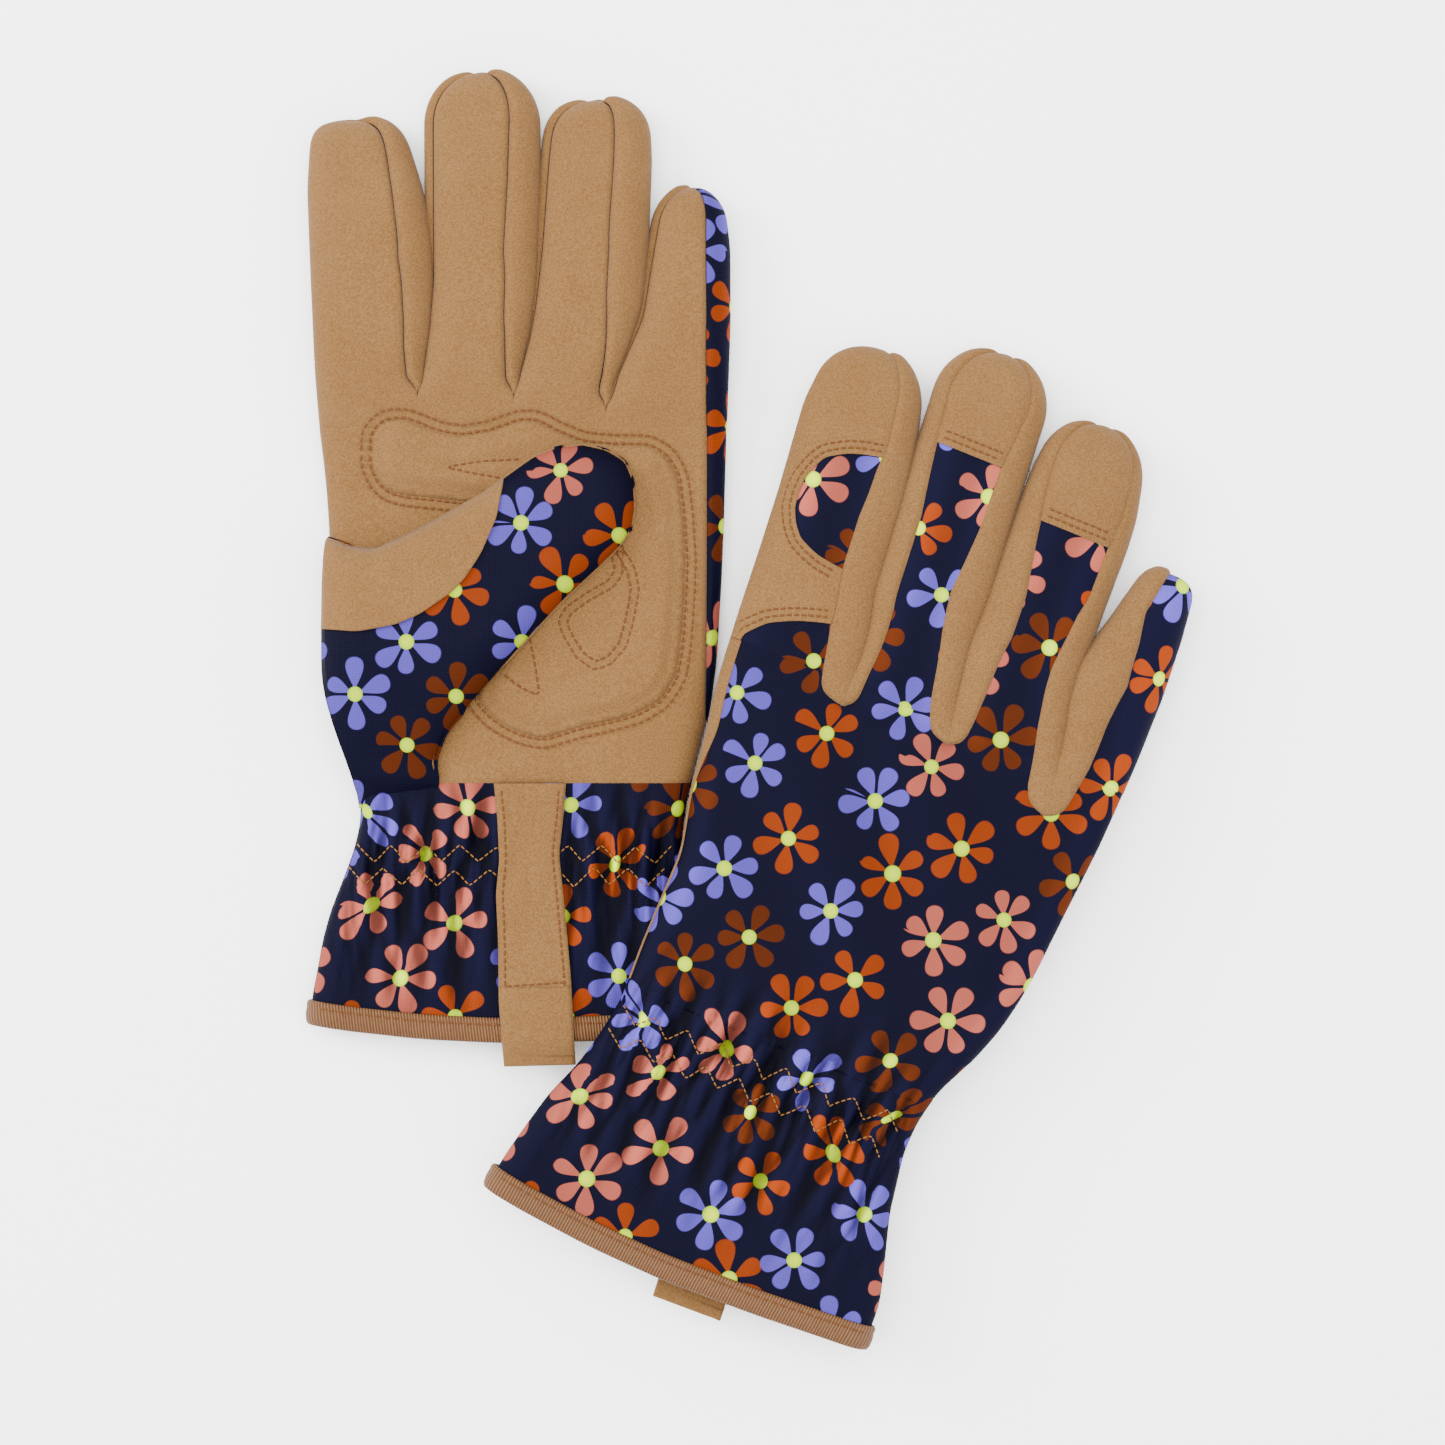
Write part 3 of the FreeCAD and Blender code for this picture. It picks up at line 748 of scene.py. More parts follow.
def wrap_edge(y):
    """The palm's suede turns over the thumb side, and further below the index finger."""
    return -0.12 - 0.21 * smooth(y, 66, 88)


def cuff_tube(side):
    """The hand's tube with its lower end following the hem: y is stretched down to the bowed edge."""
    tube = hand_tube(side)

    def cuff(y, a):
        share = 1 - smooth(y, -40, -4)
        low = HEM(tube(y, a)[..., 0]) + BAND - 2.0
        return tube(y + share * (low - CUFF_LOW), a)
    return cuff


for side in SIDES:
    tube, cuff, strip = hand_tube(side), cuff_tube(side), strip_edge(side)
    panel(side + "_palm_suede", side, tube, dense(HEEL_Y, KNUCKLE, 1.0), wrap_edge, strip, 110,
          "suede", [side + "_palm_panel"], "hand", tuck=(0.2, 0.55), heel=0.5, thickness=1.1)
    panel(side + "_back_print", side, tube, dense(HEEL_Y - 0.5, KNUCKLE, 1.0), strip,
          lambda y: 2 * math.pi + wrap_edge(y), 130, "floral_print", [side + "_back_panel"], "hand",
          tuck=(0.55, 0.2), thickness=0.7)
    rows = dense(CUFF_LOW, HEEL_Y + 1.5, 0.7)
    panel(side + "_wrist_print", side, cuff, rows, constant(0.0), constant(math.pi), 200, "floral_print",
          [side + "_wrist_panel"], "hand", tuck=(0.1, 0.1), lift=-0.25, thickness=0.6)
    panel(side + "_cuff_back_print", side, cuff, rows, constant(math.pi), constant(2 * math.pi), 200,
          "floral_print", [], "hand", tuck=(0.1, 0.1), thickness=0.6)
print("hand panels done")

# %% [markdown]
# The fingers. On the palm side each finger is one suede face, and the sides of the index, middle and ring
# fingers are separate puffy strips, the gussets, sewn between palm and back. On the back the gussets run
# down past the knuckles and meet in pairs as loops that lie over the print. The seams' places are given
# where they cross the finger's width, from 0 at the index side to 1 at the little-finger side.

# %% Seams


def share_of(table, finger):
    """Turns a seam drawn on the right glove, (y, x) points, into shares of the finger's width."""
    shares = []
    for y, x in table:
        low, high, tip = EDGES["right", finger][:3]
        left, right = float(low(y)), float(high(y))
        shares.append((y, min(max((x - left) / (right - left), 0.0), 1.0)))
    return curve(shares, 0.5)


def level(*points):
    """A share of the width along the finger, from (y, share) points."""
    return curve(list(points), 1.0)


PALM_SEAMS = {
    "index": (None,
              level((100, 0.93), (119, 0.9), (128, 0.835), (150, 0.765), (168, 0.79), (184, 0.84))),
    "middle": (level((100, 0.02), (200, 0.03)),
               level((100, 0.95), (119, 0.92), (135, 0.78), (152, 0.73), (190, 0.785))),
    "ring": (level((100, 0.02), (200, 0.03)),
             level((100, 0.95), (121, 0.90), (140, 0.71), (157, 0.68), (189, 0.70))),
    "little": (level((100, 0.02), (170, 0.03)),
               level((100, 0.84), (109, 0.835), (121, 0.81), (135, 0.745), (153, 0.70), (166, 0.72))),
}
BACK_SEAMS = {
    "index": (None, share_of([(186.3, -32.5), (179.4, -30.8), (165.9, -28.7), (159.5, -28.8), (147.9, -28.6),
                              (135.7, -27.7), (120.5, -25.2), (110, -22.9), (106, -21.9), (104.3, -20.8),
                              (103.2, -19), (102.4, -15)], "index")),
    "middle": (share_of([(190, -18.5), (185.5, -18.4), (171.3, -16.6), (153.8, -13.6), (136.5, -12.3),
                         (129.4, -11.3),
                         (112.1, -11), (106, -11.2), (104, -12), (103, -13.2), (102.4, -14.8)], "middle"),
               share_of([(192, 0.5), (187.9, 0.6), (173.8, -0.3), (156, 0.4), (139.2, -0.6), (125.5, 2.1),
                         (111.2, 5.1), (107, 6.6), (105, 7.8), (104, 9.4), (103.3, 12.6)], "middle")),
    "ring": (share_of([(186, 12.4), (171.6, 13.2), (160.1, 15), (145.1, 17.9), (133.7, 18.5), (118.8, 17.8),
                       (111.3, 17.6), (107, 17.2), (105, 16.4), (104, 15.2), (103.3, 13)], "ring"),
             share_of([(186.3, 30.4), (164.4, 31.8), (150, 32), (145.8, 31), (130.5, 29.8), (115.9, 31.9),
                       (101.6, 34.9), (99, 36), (97.3, 37.5), (96.4, 39.4), (95.9, 41.8)], "ring")),
    "little": (share_of([(162, 48.6), (152.3, 47), (144.2, 48.4), (133.5, 49.6), (122.5, 48.4), (110.7, 48.3),
                         (101.8, 47), (99, 46.4), (97.3, 45.2), (96.4, 43.8), (95.9, 42)], "little"), None),
}
LOOP_BOTTOM = {"index": (None, 102.3), "middle": (102.3, 103.2), "ring": (103.2, 95.8),
               "little": (95.8, None)}


def turn_at(share):
    """The tube angle, on the palm half, where a share of the width lies: cos a = 1 - 2 share."""
    return np.arccos(np.clip(1 - 2 * share, -1, 1))


def finger_rows(side, finger, low, step=1.2):
    """Rows up to the tip, closer and closer as the tip rounds off."""
    tip, cap = EDGES[side, finger][2:4]
    closing = tip - cap + cap * np.sin(np.linspace(0, math.pi / 2, 26))
    opening = low + 4 * (1 - np.cos(np.linspace(0, math.pi / 2, 12)))
    return np.unique(np.concatenate([opening, np.arange(low + 4, tip - cap, step), closing]))


def palm_seam(place, share, after):
    """A palm face's seam as a tube angle: on the finger's edge below the crotch, and at its share of the
    width above it. The glove's two outer edges have no crotch."""
    if share is None:
        return constant(-0.5)
    if after and place == 3:
        return lambda y: turn_at(share(y))
    edge = math.pi if after else 0.0
    crotch = PALM_CROTCH[place if after else place - 1]
    return lambda y: edge + (turn_at(share(y)) - edge) * smooth(y, crotch - 2, crotch + 4)


def back_seam(share, further=0.0):
    """A seam on the back as a tube angle, moved by a part of the width."""
    return lambda y: 2 * math.pi - turn_at(share(y) + further)


# %% Finger panels
PUFFED = {"lift": 0.55, "puff": 1.0, "thickness": 0.9}
for side in SIDES:
    for place, finger in enumerate(FINGERS):
        tube = finger_tube(side, finger)
        rows = finger_rows(side, finger, KNUCKLE)
        name = side + "_" + finger
        before, after = (palm_seam(place, PALM_SEAMS[finger][k], k == 1) for k in (0, 1))
        crotches = (None, *PALM_CROTCH, None)[place:place + 2]
        panel(name + "_palm_suede", side, tube, rows, before, after, 40, "suede", [name + "_palm_side"],
              finger, tuck=(0.5, 0.6), thickness=1.0, opens=crotches)
        start = after if place == 3 else constant(math.pi + 0.1)
        stop = constant(2 * math.pi - (0.2 if place == 3 else 0.1))
        panel(name + "_back_print", side, tube, rows, start, stop, 40, "floral_print", [name + "_back"],
              finger, tuck=(0.3, 0.3), thickness=0.6)
        back_left, back_right = BACK_SEAMS[finger]
        low_left, low_right = LOOP_BOTTOM[finger]
        if back_right is not None:
            panel(name + "_outer_gusset", side, tube, finger_rows(side, finger, low_right, 0.8), after,
                  back_seam(back_right), 30, "suede", [name + "_gusset"], finger, tuck=(0.8, 0.9), **PUFFED)
        if back_left is not None:
            nodes = [name + "_gusset"] if back_right is None else []
            panel(name + "_inner_gusset", side, tube, finger_rows(side, finger, low_left, 0.8),
                  back_seam(back_left), lambda y, seam=before: 2 * math.pi + seam(y), 30, "suede", nodes,
                  finger, tuck=(0.9, 0.8), **PUFFED)
print("fingers done")

# %% [markdown]
# The reinforcing on the backs. The index finger's suede reaches from its tip to below the knuckle with a
# window that shows the print, and the middle and ring fingers have caps. They lie on the print, with cut
# edges and two rows of stitches.

# %% Tip caps and the index finger's guard
GUARD = curve([(84.5, -43.6), (90, -44.6), (94.6, -44.9), (102.5, -45), (110.2, -43.6), (114.7, -39.3),
               (117.6, -33.5), (119.3, -28.5), (120.2, -25)], 0.5)
WINDOW = curve([(134, -27.6), (134.4, -33), (137.2, -39.6), (140.2, -42), (143.7, -43.7), (147.5, -44.3),
                (151.4, -44.2), (155, -43.1), (158.3, -41.4), (161.3, -36.4), (163, -31), (163.4, -27.6)], 0.5)
CAPS = {"middle": 172.3, "ring": 163.8}
GUARD_TOP, WINDOW_LOW, WINDOW_HIGH = 120.2, 134, 163.4
UNDER_GUSSET = 0.03


def guard_edge(y):
    """The guard's edge towards the middle finger, as a share of the width: its lower curve, then the
    gusset's seam, and the window's curve where that lies nearer the thumb."""
    left, right = (EDGES["right", "index"][k](y) for k in (0, 1))
    seam_x = left + (right - left) * BACK_SEAMS["index"][1](y)
    window = (y > WINDOW_LOW) & (y < WINDOW_HIGH)
    x = np.where(y < GUARD_TOP, GUARD(y), seam_x)
    x = np.where(window, np.minimum(WINDOW(y), x), x)
    under = UNDER_GUSSET * ((y > GUARD_TOP) & ~window)
    return np.clip((x - left) / (right - left) + under, 0.01, 0.99)


def guard_rows(side):
    """Close rows over the guard's lower curve and its window, wider ones between, and the rounded tip."""
    tip, cap = EDGES[side, "index"][2:4]
    runs = [np.arange(KNUCKLE, 121, 0.3), np.arange(121, 133.6, 1.0), np.arange(133.6, 164, 0.35),
            np.arange(164, tip - cap, 1.0), tip - cap + cap * np.sin(np.linspace(0, math.pi / 2, 26))]
    return np.unique(np.concatenate(runs))


for side in SIDES:
    panel(side + "_index_guard", side, finger_tube(side, "index"), guard_rows(side),
          lambda y: 2 * math.pi - turn_at(guard_edge(y)), constant(2 * math.pi - 0.12), 40,
          "suede", [side + "_index_saddle", side + "_index_tip_cap"], "index", lift=0.5, tuck=(0.15, 0.4),
          thickness=0.8)
    for finger, low in CAPS.items():
        left, right = BACK_SEAMS[finger]
        panel(side + "_" + finger + "_tip_cap", side, finger_tube(side, finger),
              finger_rows(side, finger, low, 0.8), back_seam(right, UNDER_GUSSET),
              back_seam(left, -UNDER_GUSSET), 40, "suede", [side + "_" + finger + "_tip_cap"], finger,
              lift=0.5, tuck=(0.3, 0.3), thickness=0.8)
print("caps done")

# %% [markdown]
# The thumb lies folded across the palm. Its plan is the strip between two lines from the root to the
# tip, and it swells from its outline as a quarter circle. The print of its back faces up, the suede
# patch between thumb and index finger lies on the print, and suede faces the palm.

# %% Thumb


def line_through(points, blur=1.2):
    """A smooth plan line through (x, y) points, as a function of the share of its length."""
    points = np.array(points, float)
    steps = np.concatenate([[0], np.cumsum(np.hypot(*np.diff(points, axis=0).T))])
    fine = np.linspace(0, steps[-1], 500)
    out = []
    for axis in (0, 1):
        value = np.interp(fine, steps, points[:, axis])
        width = max(int(blur / (fine[1] - fine[0])), 1)
        weight = np.hanning(4 * width + 3)
        padded = np.pad(value, 2 * width + 1, mode="reflect", reflect_type="odd")
        out.append(np.convolve(padded, weight / weight.sum(), mode="valid"))
    return lambda s: np.stack([np.interp(s, fine / fine[-1], part) for part in out], -1)


THUMB_UPPER = line_through([(-47.5, 80.5), (-41, 78.2), (-35.3, 77.6), (-27, 81), (-16, 87), (-8, 91.5),
                            (-2.8, 95.3), (4.5, 100.6), (10.3, 102.8), (16.8, 103.5)])
THUMB_LOWER = line_through([(-41, 13.5), (-29, 14.5), (-20, 18.5), (-20.5, 25), (-17.8, 31.7), (-12.8, 37.5),
                            (-4.8, 46.7), (3, 55.5), (12.3, 65.5), (21, 73.5), (26, 78.5), (28.8, 82.8),
                            (29.6, 88), (29.2, 94.5), (27.3, 99.4), (22.5, 102.3), (16.8, 103.5)])
WEB_EDGE = line_through([(-48.2, 57.6), (-38.8, 56.9), (-29.3, 58.6), (-23.5, 61), (-15.8, 66.3), (-12, 70.1),
                         (-8, 76.4), (-4.3, 85), (-2.9, 95.2)], 1.5)
THUMB_LOW, THUMB_THICK, THUMB_ROUND, THUMB_ROOT = 9.8, 7.4, 9.5, 3.5
WEB_TOP = 0.66
ROOT_X = {"left": (-48.5, -37), "right": (-38, -28)}
outline = np.concatenate([THUMB_UPPER(np.linspace(0, 1, 90)), THUMB_LOWER(np.linspace(1, 0, 120))])


def distance_to_line(x, y, line):
    """The shortest distance from each point to a polyline: the foot on every run, and the least of them."""
    start, run = line[:-1], np.diff(line, axis=0)
    dx, dy = x[..., None] - start[:, 0], y[..., None] - start[:, 1]
    t = np.clip((dx * run[:, 0] + dy * run[:, 1]) / np.maximum((run ** 2).sum(1), 1e-9), 0, 1)
    return np.sqrt(((dx - t * run[:, 0]) ** 2 + (dy - t * run[:, 1]) ** 2).min(-1))


def thumb_top(side, x, y):
    """Depth of the thumb's upper face: its thickness x a quarter circle of the distance from the outline,
    sinking to the hand at the root."""
    swell = quarter(distance_to_line(x, y, outline) / THUMB_ROUND)
    full = THUMB_THICK * (0.35 + 0.65 * smooth(y, 18, 55))
    low, high = ROOT_X[side]
    base = THUMB_ROOT + (THUMB_LOW - THUMB_ROOT) * quarter((x - low) / (high - low))
    base = base - 2.0 * (1 - smooth(y, 16, 34)) - 3.0 * (1 - smooth(y, 14, 21))
    return base + 0.35 + full * 0.5 + full * 0.5 * (2 * swell - 1) + 0.5 * drift(x * 2, y * 2)


def thumb_plan(side, s, u):
    """Between the two lines: (1 - u) upper + u lower, held inside the hand at the root."""
    point = (1 - u)[..., None] * THUMB_UPPER(s) + u[..., None] * THUMB_LOWER(s)
    root = (1 - u)[..., None] * THUMB_UPPER(0 * s) + u[..., None] * THUMB_LOWER(0 * s)
    edge = np.maximum(HAND[side][0](root[..., 1]), ROOT_X[side][0]) - 0.2
    point[..., 0] += (edge - root[..., 0]) * (1 - smooth(s, 0, 0.35))
    keep = ROOT_X[side][0]
    point[..., 0] = keep + np.logaddexp(0, (point[..., 0] - keep) * 2.5) / 2.5
    return point


def sheet(name, side, plan, depth, finish, nodes, body, thickness, flip=False):
    """A grid of plan points raised by a depth function, faces turned towards growing depth or away."""
    points = np.concatenate([plan, depth[..., None]], -1)
    faces = grid_faces(*plan.shape[:2])
    a, b = np.gradient(plan, axis=0), np.gradient(plan, axis=1)
    turn = (a[..., 0] * b[..., 1] - a[..., 1] * b[..., 0]).sum()
    if (turn > 0) != flip:
        faces = faces[:, ::-1]
    return as_mesh(name, side, points.reshape(-1, 3), faces, plan.reshape(-1, 2), thickness, finish, nodes,
                   body)


for side in SIDES:
    s = 1 - (1 - np.linspace(0, 1, 90)) ** 1.5
    u = 0.5 - 0.5 * np.cos(np.linspace(0, math.pi, 60))
    s, u = np.meshgrid(s, u, indexing="ij")
    plan = thumb_plan(side, s, u)
    sheet(side + "_thumb_print", side, plan, thumb_top(side, plan[..., 0], plan[..., 1]), "floral_print",
          [side + "_thumb_back"], "thumb", 0.6)
    # At the root the suede stops a little short of the print, so the print's edge covers it.
    plan = thumb_plan(side, s, u * (1 - 0.06 * (1 - smooth(s, 0.2, 0.45))))
    under = np.minimum(thumb_top(side, plan[..., 0], plan[..., 1]) - 0.7, THUMB_LOW + 0.1)
    sheet(side + "_thumb_suede", side, plan, under, "suede", [side + "_thumb_palm_side"], "thumb", 0.5,
          flip=True)
    s, v = np.meshgrid(np.linspace(0, 1, 70), np.linspace(0, 1, 40), indexing="ij")
    plan = (1 - v)[..., None] * THUMB_UPPER(s * WEB_TOP) + v[..., None] * WEB_EDGE(s)
    plan[..., 0] = np.maximum(plan[..., 0], ROOT_X[side][0] + 0.3)
    sheet(side + "_thumb_web_suede", side, plan, thumb_top(side, plan[..., 0], plan[..., 1]) + 0.75, "suede",
          [side + "_thumb_web_patch"], "thumb", 0.8)
print("thumbs done")

# %% [markdown]
# The pull tab is a flat suede strap sewn down the palm side of the cuff, with a loose tail past the hem.
# Its two edges are drawn from the real strap, which isn't quite straight, and it is one grid between them.

# %% Pull tab
TAB_LEFT = curve([(-52, -3), (-34.5, -4.3), (-19, -4.5), (-8.5, -5), (0.3, -4.1), (10.3, -4.6),
                  (18.9, -5.5)], 1)
TAB_RIGHT = curve([(-52, 15), (-44, 14.6), (-28.5, 13.7), (-9.8, 12), (1.5, 10.8), (12, 12), (18.9, 12.5)], 1)
SEWN_Y, TAIL_Y = -31.5, -51.6


def strap_depth(side, x, y):
    """On the wrist's folds, a strap's thickness proud, lifted over the binding and drooping past it."""
    on_cuff = hand_depth(side, x, np.maximum(y, HEM_LEVEL), np.full(x.shape, True)) + 1.35
    return on_cuff + 0.9 * smooth(-y, 31, 38) - 1.6 * smooth(-y, 44, 52)


for side in SIDES:
    for part, high, low, body in (("pull_tab", HEEL_Y + 0.6, SEWN_Y - 0.4, "hand"),
                                  ("pull_tab_tail", SEWN_Y, TAIL_Y, "tab")):
        y, v = np.meshgrid(np.linspace(high, low, 60), np.linspace(0, 1, 20), indexing="ij")
        x = TAB_LEFT(y) + (TAB_RIGHT(y) - TAB_LEFT(y)) * v
        plan = np.stack([x, y + 0.5 * v * (y < -49)], -1)
        edge = 0.35 * np.exp(-((np.minimum(v, 1 - v) * 17) / 0.6) ** 2)
        sheet(side + "_" + part, side, plan, strap_depth(side, x, y) - edge, "suede", [side + "_" + part],
              body, 1.1)

# %% [markdown]
# The hem binding is a ribbed tape folded over the cuff's end. Its profile, a flattened U, is carried round
# the hem on the hand's own tube, so it follows the bow of the hem.

# %% Hem binding
PROFILE = np.array([(6.3, 0.05), (6.2, 0.6), (5.6, 1.0), (4.4, 1.0), (3.9, 1.15), (2.6, 1.3), (1.2, 1.2),
                    (0.3, 0.8), (0.0, 0.1), (0.3, -0.6), (1.2, -1.0), (4.4, -0.9), (5.2, -0.6)])
ELASTIC_Y = {"left": (-9.0, 6.0), "right": (-1.0, 15.0)}


def round_hem(side, a, up, out):
    """Points round the hem: the tube at the hem's height + up, moved out along the section's normal."""
    tube, at = hand_tube(side), np.full_like(a, HEM_LEVEL)
    middle = tube(at, a)
    y = HEM(middle[..., 0]) + up
    run = tube(at, a + 0.01) - tube(at, a - 0.01)
    normal = np.stack([run[..., 2], -run[..., 0]], -1)
    normal = -normal / np.maximum(np.linalg.norm(normal, axis=-1, keepdims=True), 1e-9)
    return np.stack([middle[..., 0] + normal[..., 0] * out, y, middle[..., 2] + normal[..., 1] * out], -1)


turns, n = 400, len(PROFILE)
for side in SIDES:
    # Even steps along the perimeter, found from the length of a fine run of angles.
    fine = np.linspace(0.0005, 2 * math.pi + 0.0005, 6000)
    ring = round_hem(side, fine, 0.0, 0.0)
    walked = np.concatenate([[0], np.cumsum(np.linalg.norm(np.diff(ring, axis=0), axis=1))])
    a = np.interp(np.linspace(0, walked[-1], turns + 1)[:-1], walked, fine)
    A, K = np.meshgrid(a, np.arange(n), indexing="ij")
    points = round_hem(side, A, PROFILE[K, 0], PROFILE[K, 1])
    i, j = np.meshgrid(np.arange(turns), np.arange(n), indexing="ij")
    here, ahead, aside = i * n, (i + 1) % turns * n, (j + 1) % n
    faces = np.stack([here + j, here + aside, ahead + aside, ahead + j], -1)
    uv = np.stack([i * walked[-1] / turns, PROFILE[K, 0]], -1)
    as_mesh(side + "_hem_binding", side, points.reshape(-1, 3), faces.reshape(-1, 4), uv.reshape(-1, 2), 0,
            "binding_tape", [side + "_cuff_binding"], "hand")
    # The elastic is a band inside the wrist, clear of the print's wall.
    panel(side + "_elastic_band", side, hand_tube(side), dense(*ELASTIC_Y[side], 1.0), constant(0.05),
          constant(2 * math.pi - 0.05), 160, "elastic", [side + "_wrist_elastic"], "hand", lift=-1.1,
          tuck=(0, 0), thickness=0.5)
print("cuffs done")

# %% [markdown]
# Stitches. One stitch is a small spindle of thread; a row of them is set at even steps along a plan line,
# each lying on the cloth's surface below it. One mesh holds all the stitches of a piece.

# %% Stitch rows
AROUND, HALF_STITCH, PROUD = 6, 0.38, 0.08
SPINDLE = [(-1.0, 0.25), (-0.7, 0.85), (0.0, 1.0), (0.7, 0.85), (1.0, 0.25)]


def walk(line, pitch):
    """The two ends of each stitch, at even steps along a plan polyline."""
    line = np.asarray(line, float)
    steps = np.concatenate([[0], np.cumsum(np.hypot(*np.diff(line, axis=0).T))])
    at = np.arange(pitch / 2, steps[-1], pitch)
    behind, ahead = at - pitch * HALF_STITCH, at + pitch * HALF_STITCH
    return [np.stack([np.interp(where, steps, line[:, k]) for k in (0, 1)], -1) for where in (behind, ahead)]


def unit(vectors):
    """Each vector divided by its length."""
    return vectors / np.maximum(np.linalg.norm(vectors, axis=1, keepdims=True), 1e-9)


def stitch_row(line, depth, up, pitch, width, height):
    """Points of a row of stitches. A stitch's point = middle + half length x along + width cos x sideways +
    height sin x up."""
    ends = [np.stack([p[:, 0], p[:, 1], depth(p[:, 0], p[:, 1]) + up * PROUD], -1) for p in walk(line, pitch)]
    middle, half = 0.5 * (ends[0] + ends[1]), 0.5 * (ends[1] - ends[0])
    middle[:, 2] = 0.5 * middle[:, 2] + 0.5 * (depth(middle[:, 0], middle[:, 1]) + up * PROUD)
    long = unit(half)
    sideways = unit(np.cross(np.array([0, 0, float(up)]), long))
    raised = np.cross(long, sideways)
    rings = [middle + half * along + sideways * (width / 2 * girth * math.cos(turn))
             + raised * (height / 2 * girth * math.sin(turn))
             for along, girth in SPINDLE for turn in np.arange(AROUND) * 2 * math.pi / AROUND]
    return np.stack(rings, 1).reshape(-1, 3)


def stitch_faces():
    """One stitch's faces: quads between its rings, and two quads over each end."""
    own = [[ring * AROUND + k, ring * AROUND + (k + 1) % AROUND, (ring + 1) * AROUND + (k + 1) % AROUND,
            (ring + 1) * AROUND + k] for ring in range(len(SPINDLE) - 1) for k in range(AROUND)]
    last = (len(SPINDLE) - 1) * AROUND
    own += [[3, 2, 1, 0], [5, 4, 3, 0]]
    own += [[last, last + 1, last + 2, last + 3], [last, last + 3, last + 4, last + 5]]
    return np.array(own)


def stitches(name, side, rows, finish, nodes, body, pitch=1.9, width=0.5, height=0.32):
    """rows is a list of (plan line, depth function, +1 on the palm or -1 on the back)."""
    points = np.concatenate([stitch_row(*row, pitch, width, height) for row in rows])
    each = AROUND * len(SPINDLE)
    first = each * np.arange(len(points) // each)
    faces = (stitch_faces()[None] + first[:, None, None]).reshape(-1, 4)
    outwards(as_mesh(name, side, points, faces, None, 0, finish, nodes, body))


def outwards(piece):
    """Turns a mesh of closed shells so that its faces point out."""
    work = bmesh.new()
    work.from_mesh(piece.data)
    bmesh.ops.recalc_face_normals(work, faces=work.faces)
    work.to_mesh(piece.data)
    work.free()


# %% [markdown]
# The palm pad is foam under suede, held by a double row of stitches. Its plan is a closed line filled with
# a net of triangles, and it swells from that line as a smooth rise, so that it looks quilted.

# %% Palm pad
PAD = [(-36, 102), (-35.8, 106.5), (-32.8, 109.6), (-27.8, 110), (-19.2, 106.7), (-13.5, 105.8), (-6.2, 107),
       (1, 109.6), (5.2, 109.5), (10.2, 106.8), (16.8, 104.2), (24.5, 103.5), (33.2, 103.4), (37.5, 100.8),
       (40.2, 96.2), (41.5, 86.2), (42.2, 74.8), (41.8, 64.8), (41, 54), (39.8, 46), (36, 40.2), (30.2, 36.8),
       (22.5, 34.8), (15.2, 33.2), (6.8, 30.6), (2.2, 31.5), (-2, 33.2), (-6.2, 36), (-9.8, 40.2), (-8.6, 45),
       (-4, 52.5), (6, 65), (14, 75), (15.5, 82), (11, 87), (-1.5, 89.2), (-13.5, 89.8), (-20.5, 90.6),
       (-27.8, 91.3), (-32, 92.4), (-34.4, 95), (-36, 98.5)]
LOOP = [(26, 79.2), (29.5, 73.5), (30.8, 67.8), (29.5, 60.5), (27.5, 53.2), (23.8, 49), (19.5, 47.5), (15.2, 50.5),
        (11.8, 56.2), (10.5, 59.8), (12.5, 63.2), (18, 67), (23.2, 69.8), (25, 72.8), (23.8, 75)]
POCKET = [(3.5, 55.5), (4.5, 50.5), (6, 41), (1, 43.2), (-3.5, 46.8)]
DART = [(1, 100.2), (-9, 99.6), (-17.8, 98.2), (-10.2, 96.6), (-3.5, 95.4)]
PAD_RISE, PAD_SLOPE = 1.3, 5.0


def closed_line(corners, count, blur=1.6):
    """A smooth closed plan line: the corners' runs, evenly divided and averaged with their neighbours."""
    corners = np.array(list(corners) + [corners[0]], float)
    steps = np.concatenate([[0], np.cumsum(np.hypot(*np.diff(corners, axis=0).T))])
    at = np.linspace(0, steps[-1], count, endpoint=False)
    line = np.stack([np.interp(at, steps, corners[:, k]) for k in (0, 1)], -1)
    width = max(int(blur / (steps[-1] / count)), 1)
    weight = np.hanning(2 * width + 3)
    rolled = [np.roll(line, shift, 0) * w for shift, w in zip(range(-width - 1, width + 2), weight)]
    return sum(rolled) / weight.sum()


def inset(line, distance):
    """The same line, each point moved in along its own normal."""
    run = np.roll(line, -1, 0) - np.roll(line, 1, 0)
    normal = np.stack([run[:, 1], -run[:, 0]], -1)
    return line + distance * normal / np.linalg.norm(normal, axis=1, keepdims=True)


pad_line = closed_line(PAD, 260)
pad_ring = np.concatenate([pad_line, pad_line[:1]])


def palm_depth(side):
    """Depth of the bare palm at plan points."""
    def depth(x, y):
        below = np.minimum(y, KNUCKLE - 0.4)
        return hand_depth(side, x, below, np.full(x.shape, True)) + (depth_at(y) - depth_at(below))
    return depth


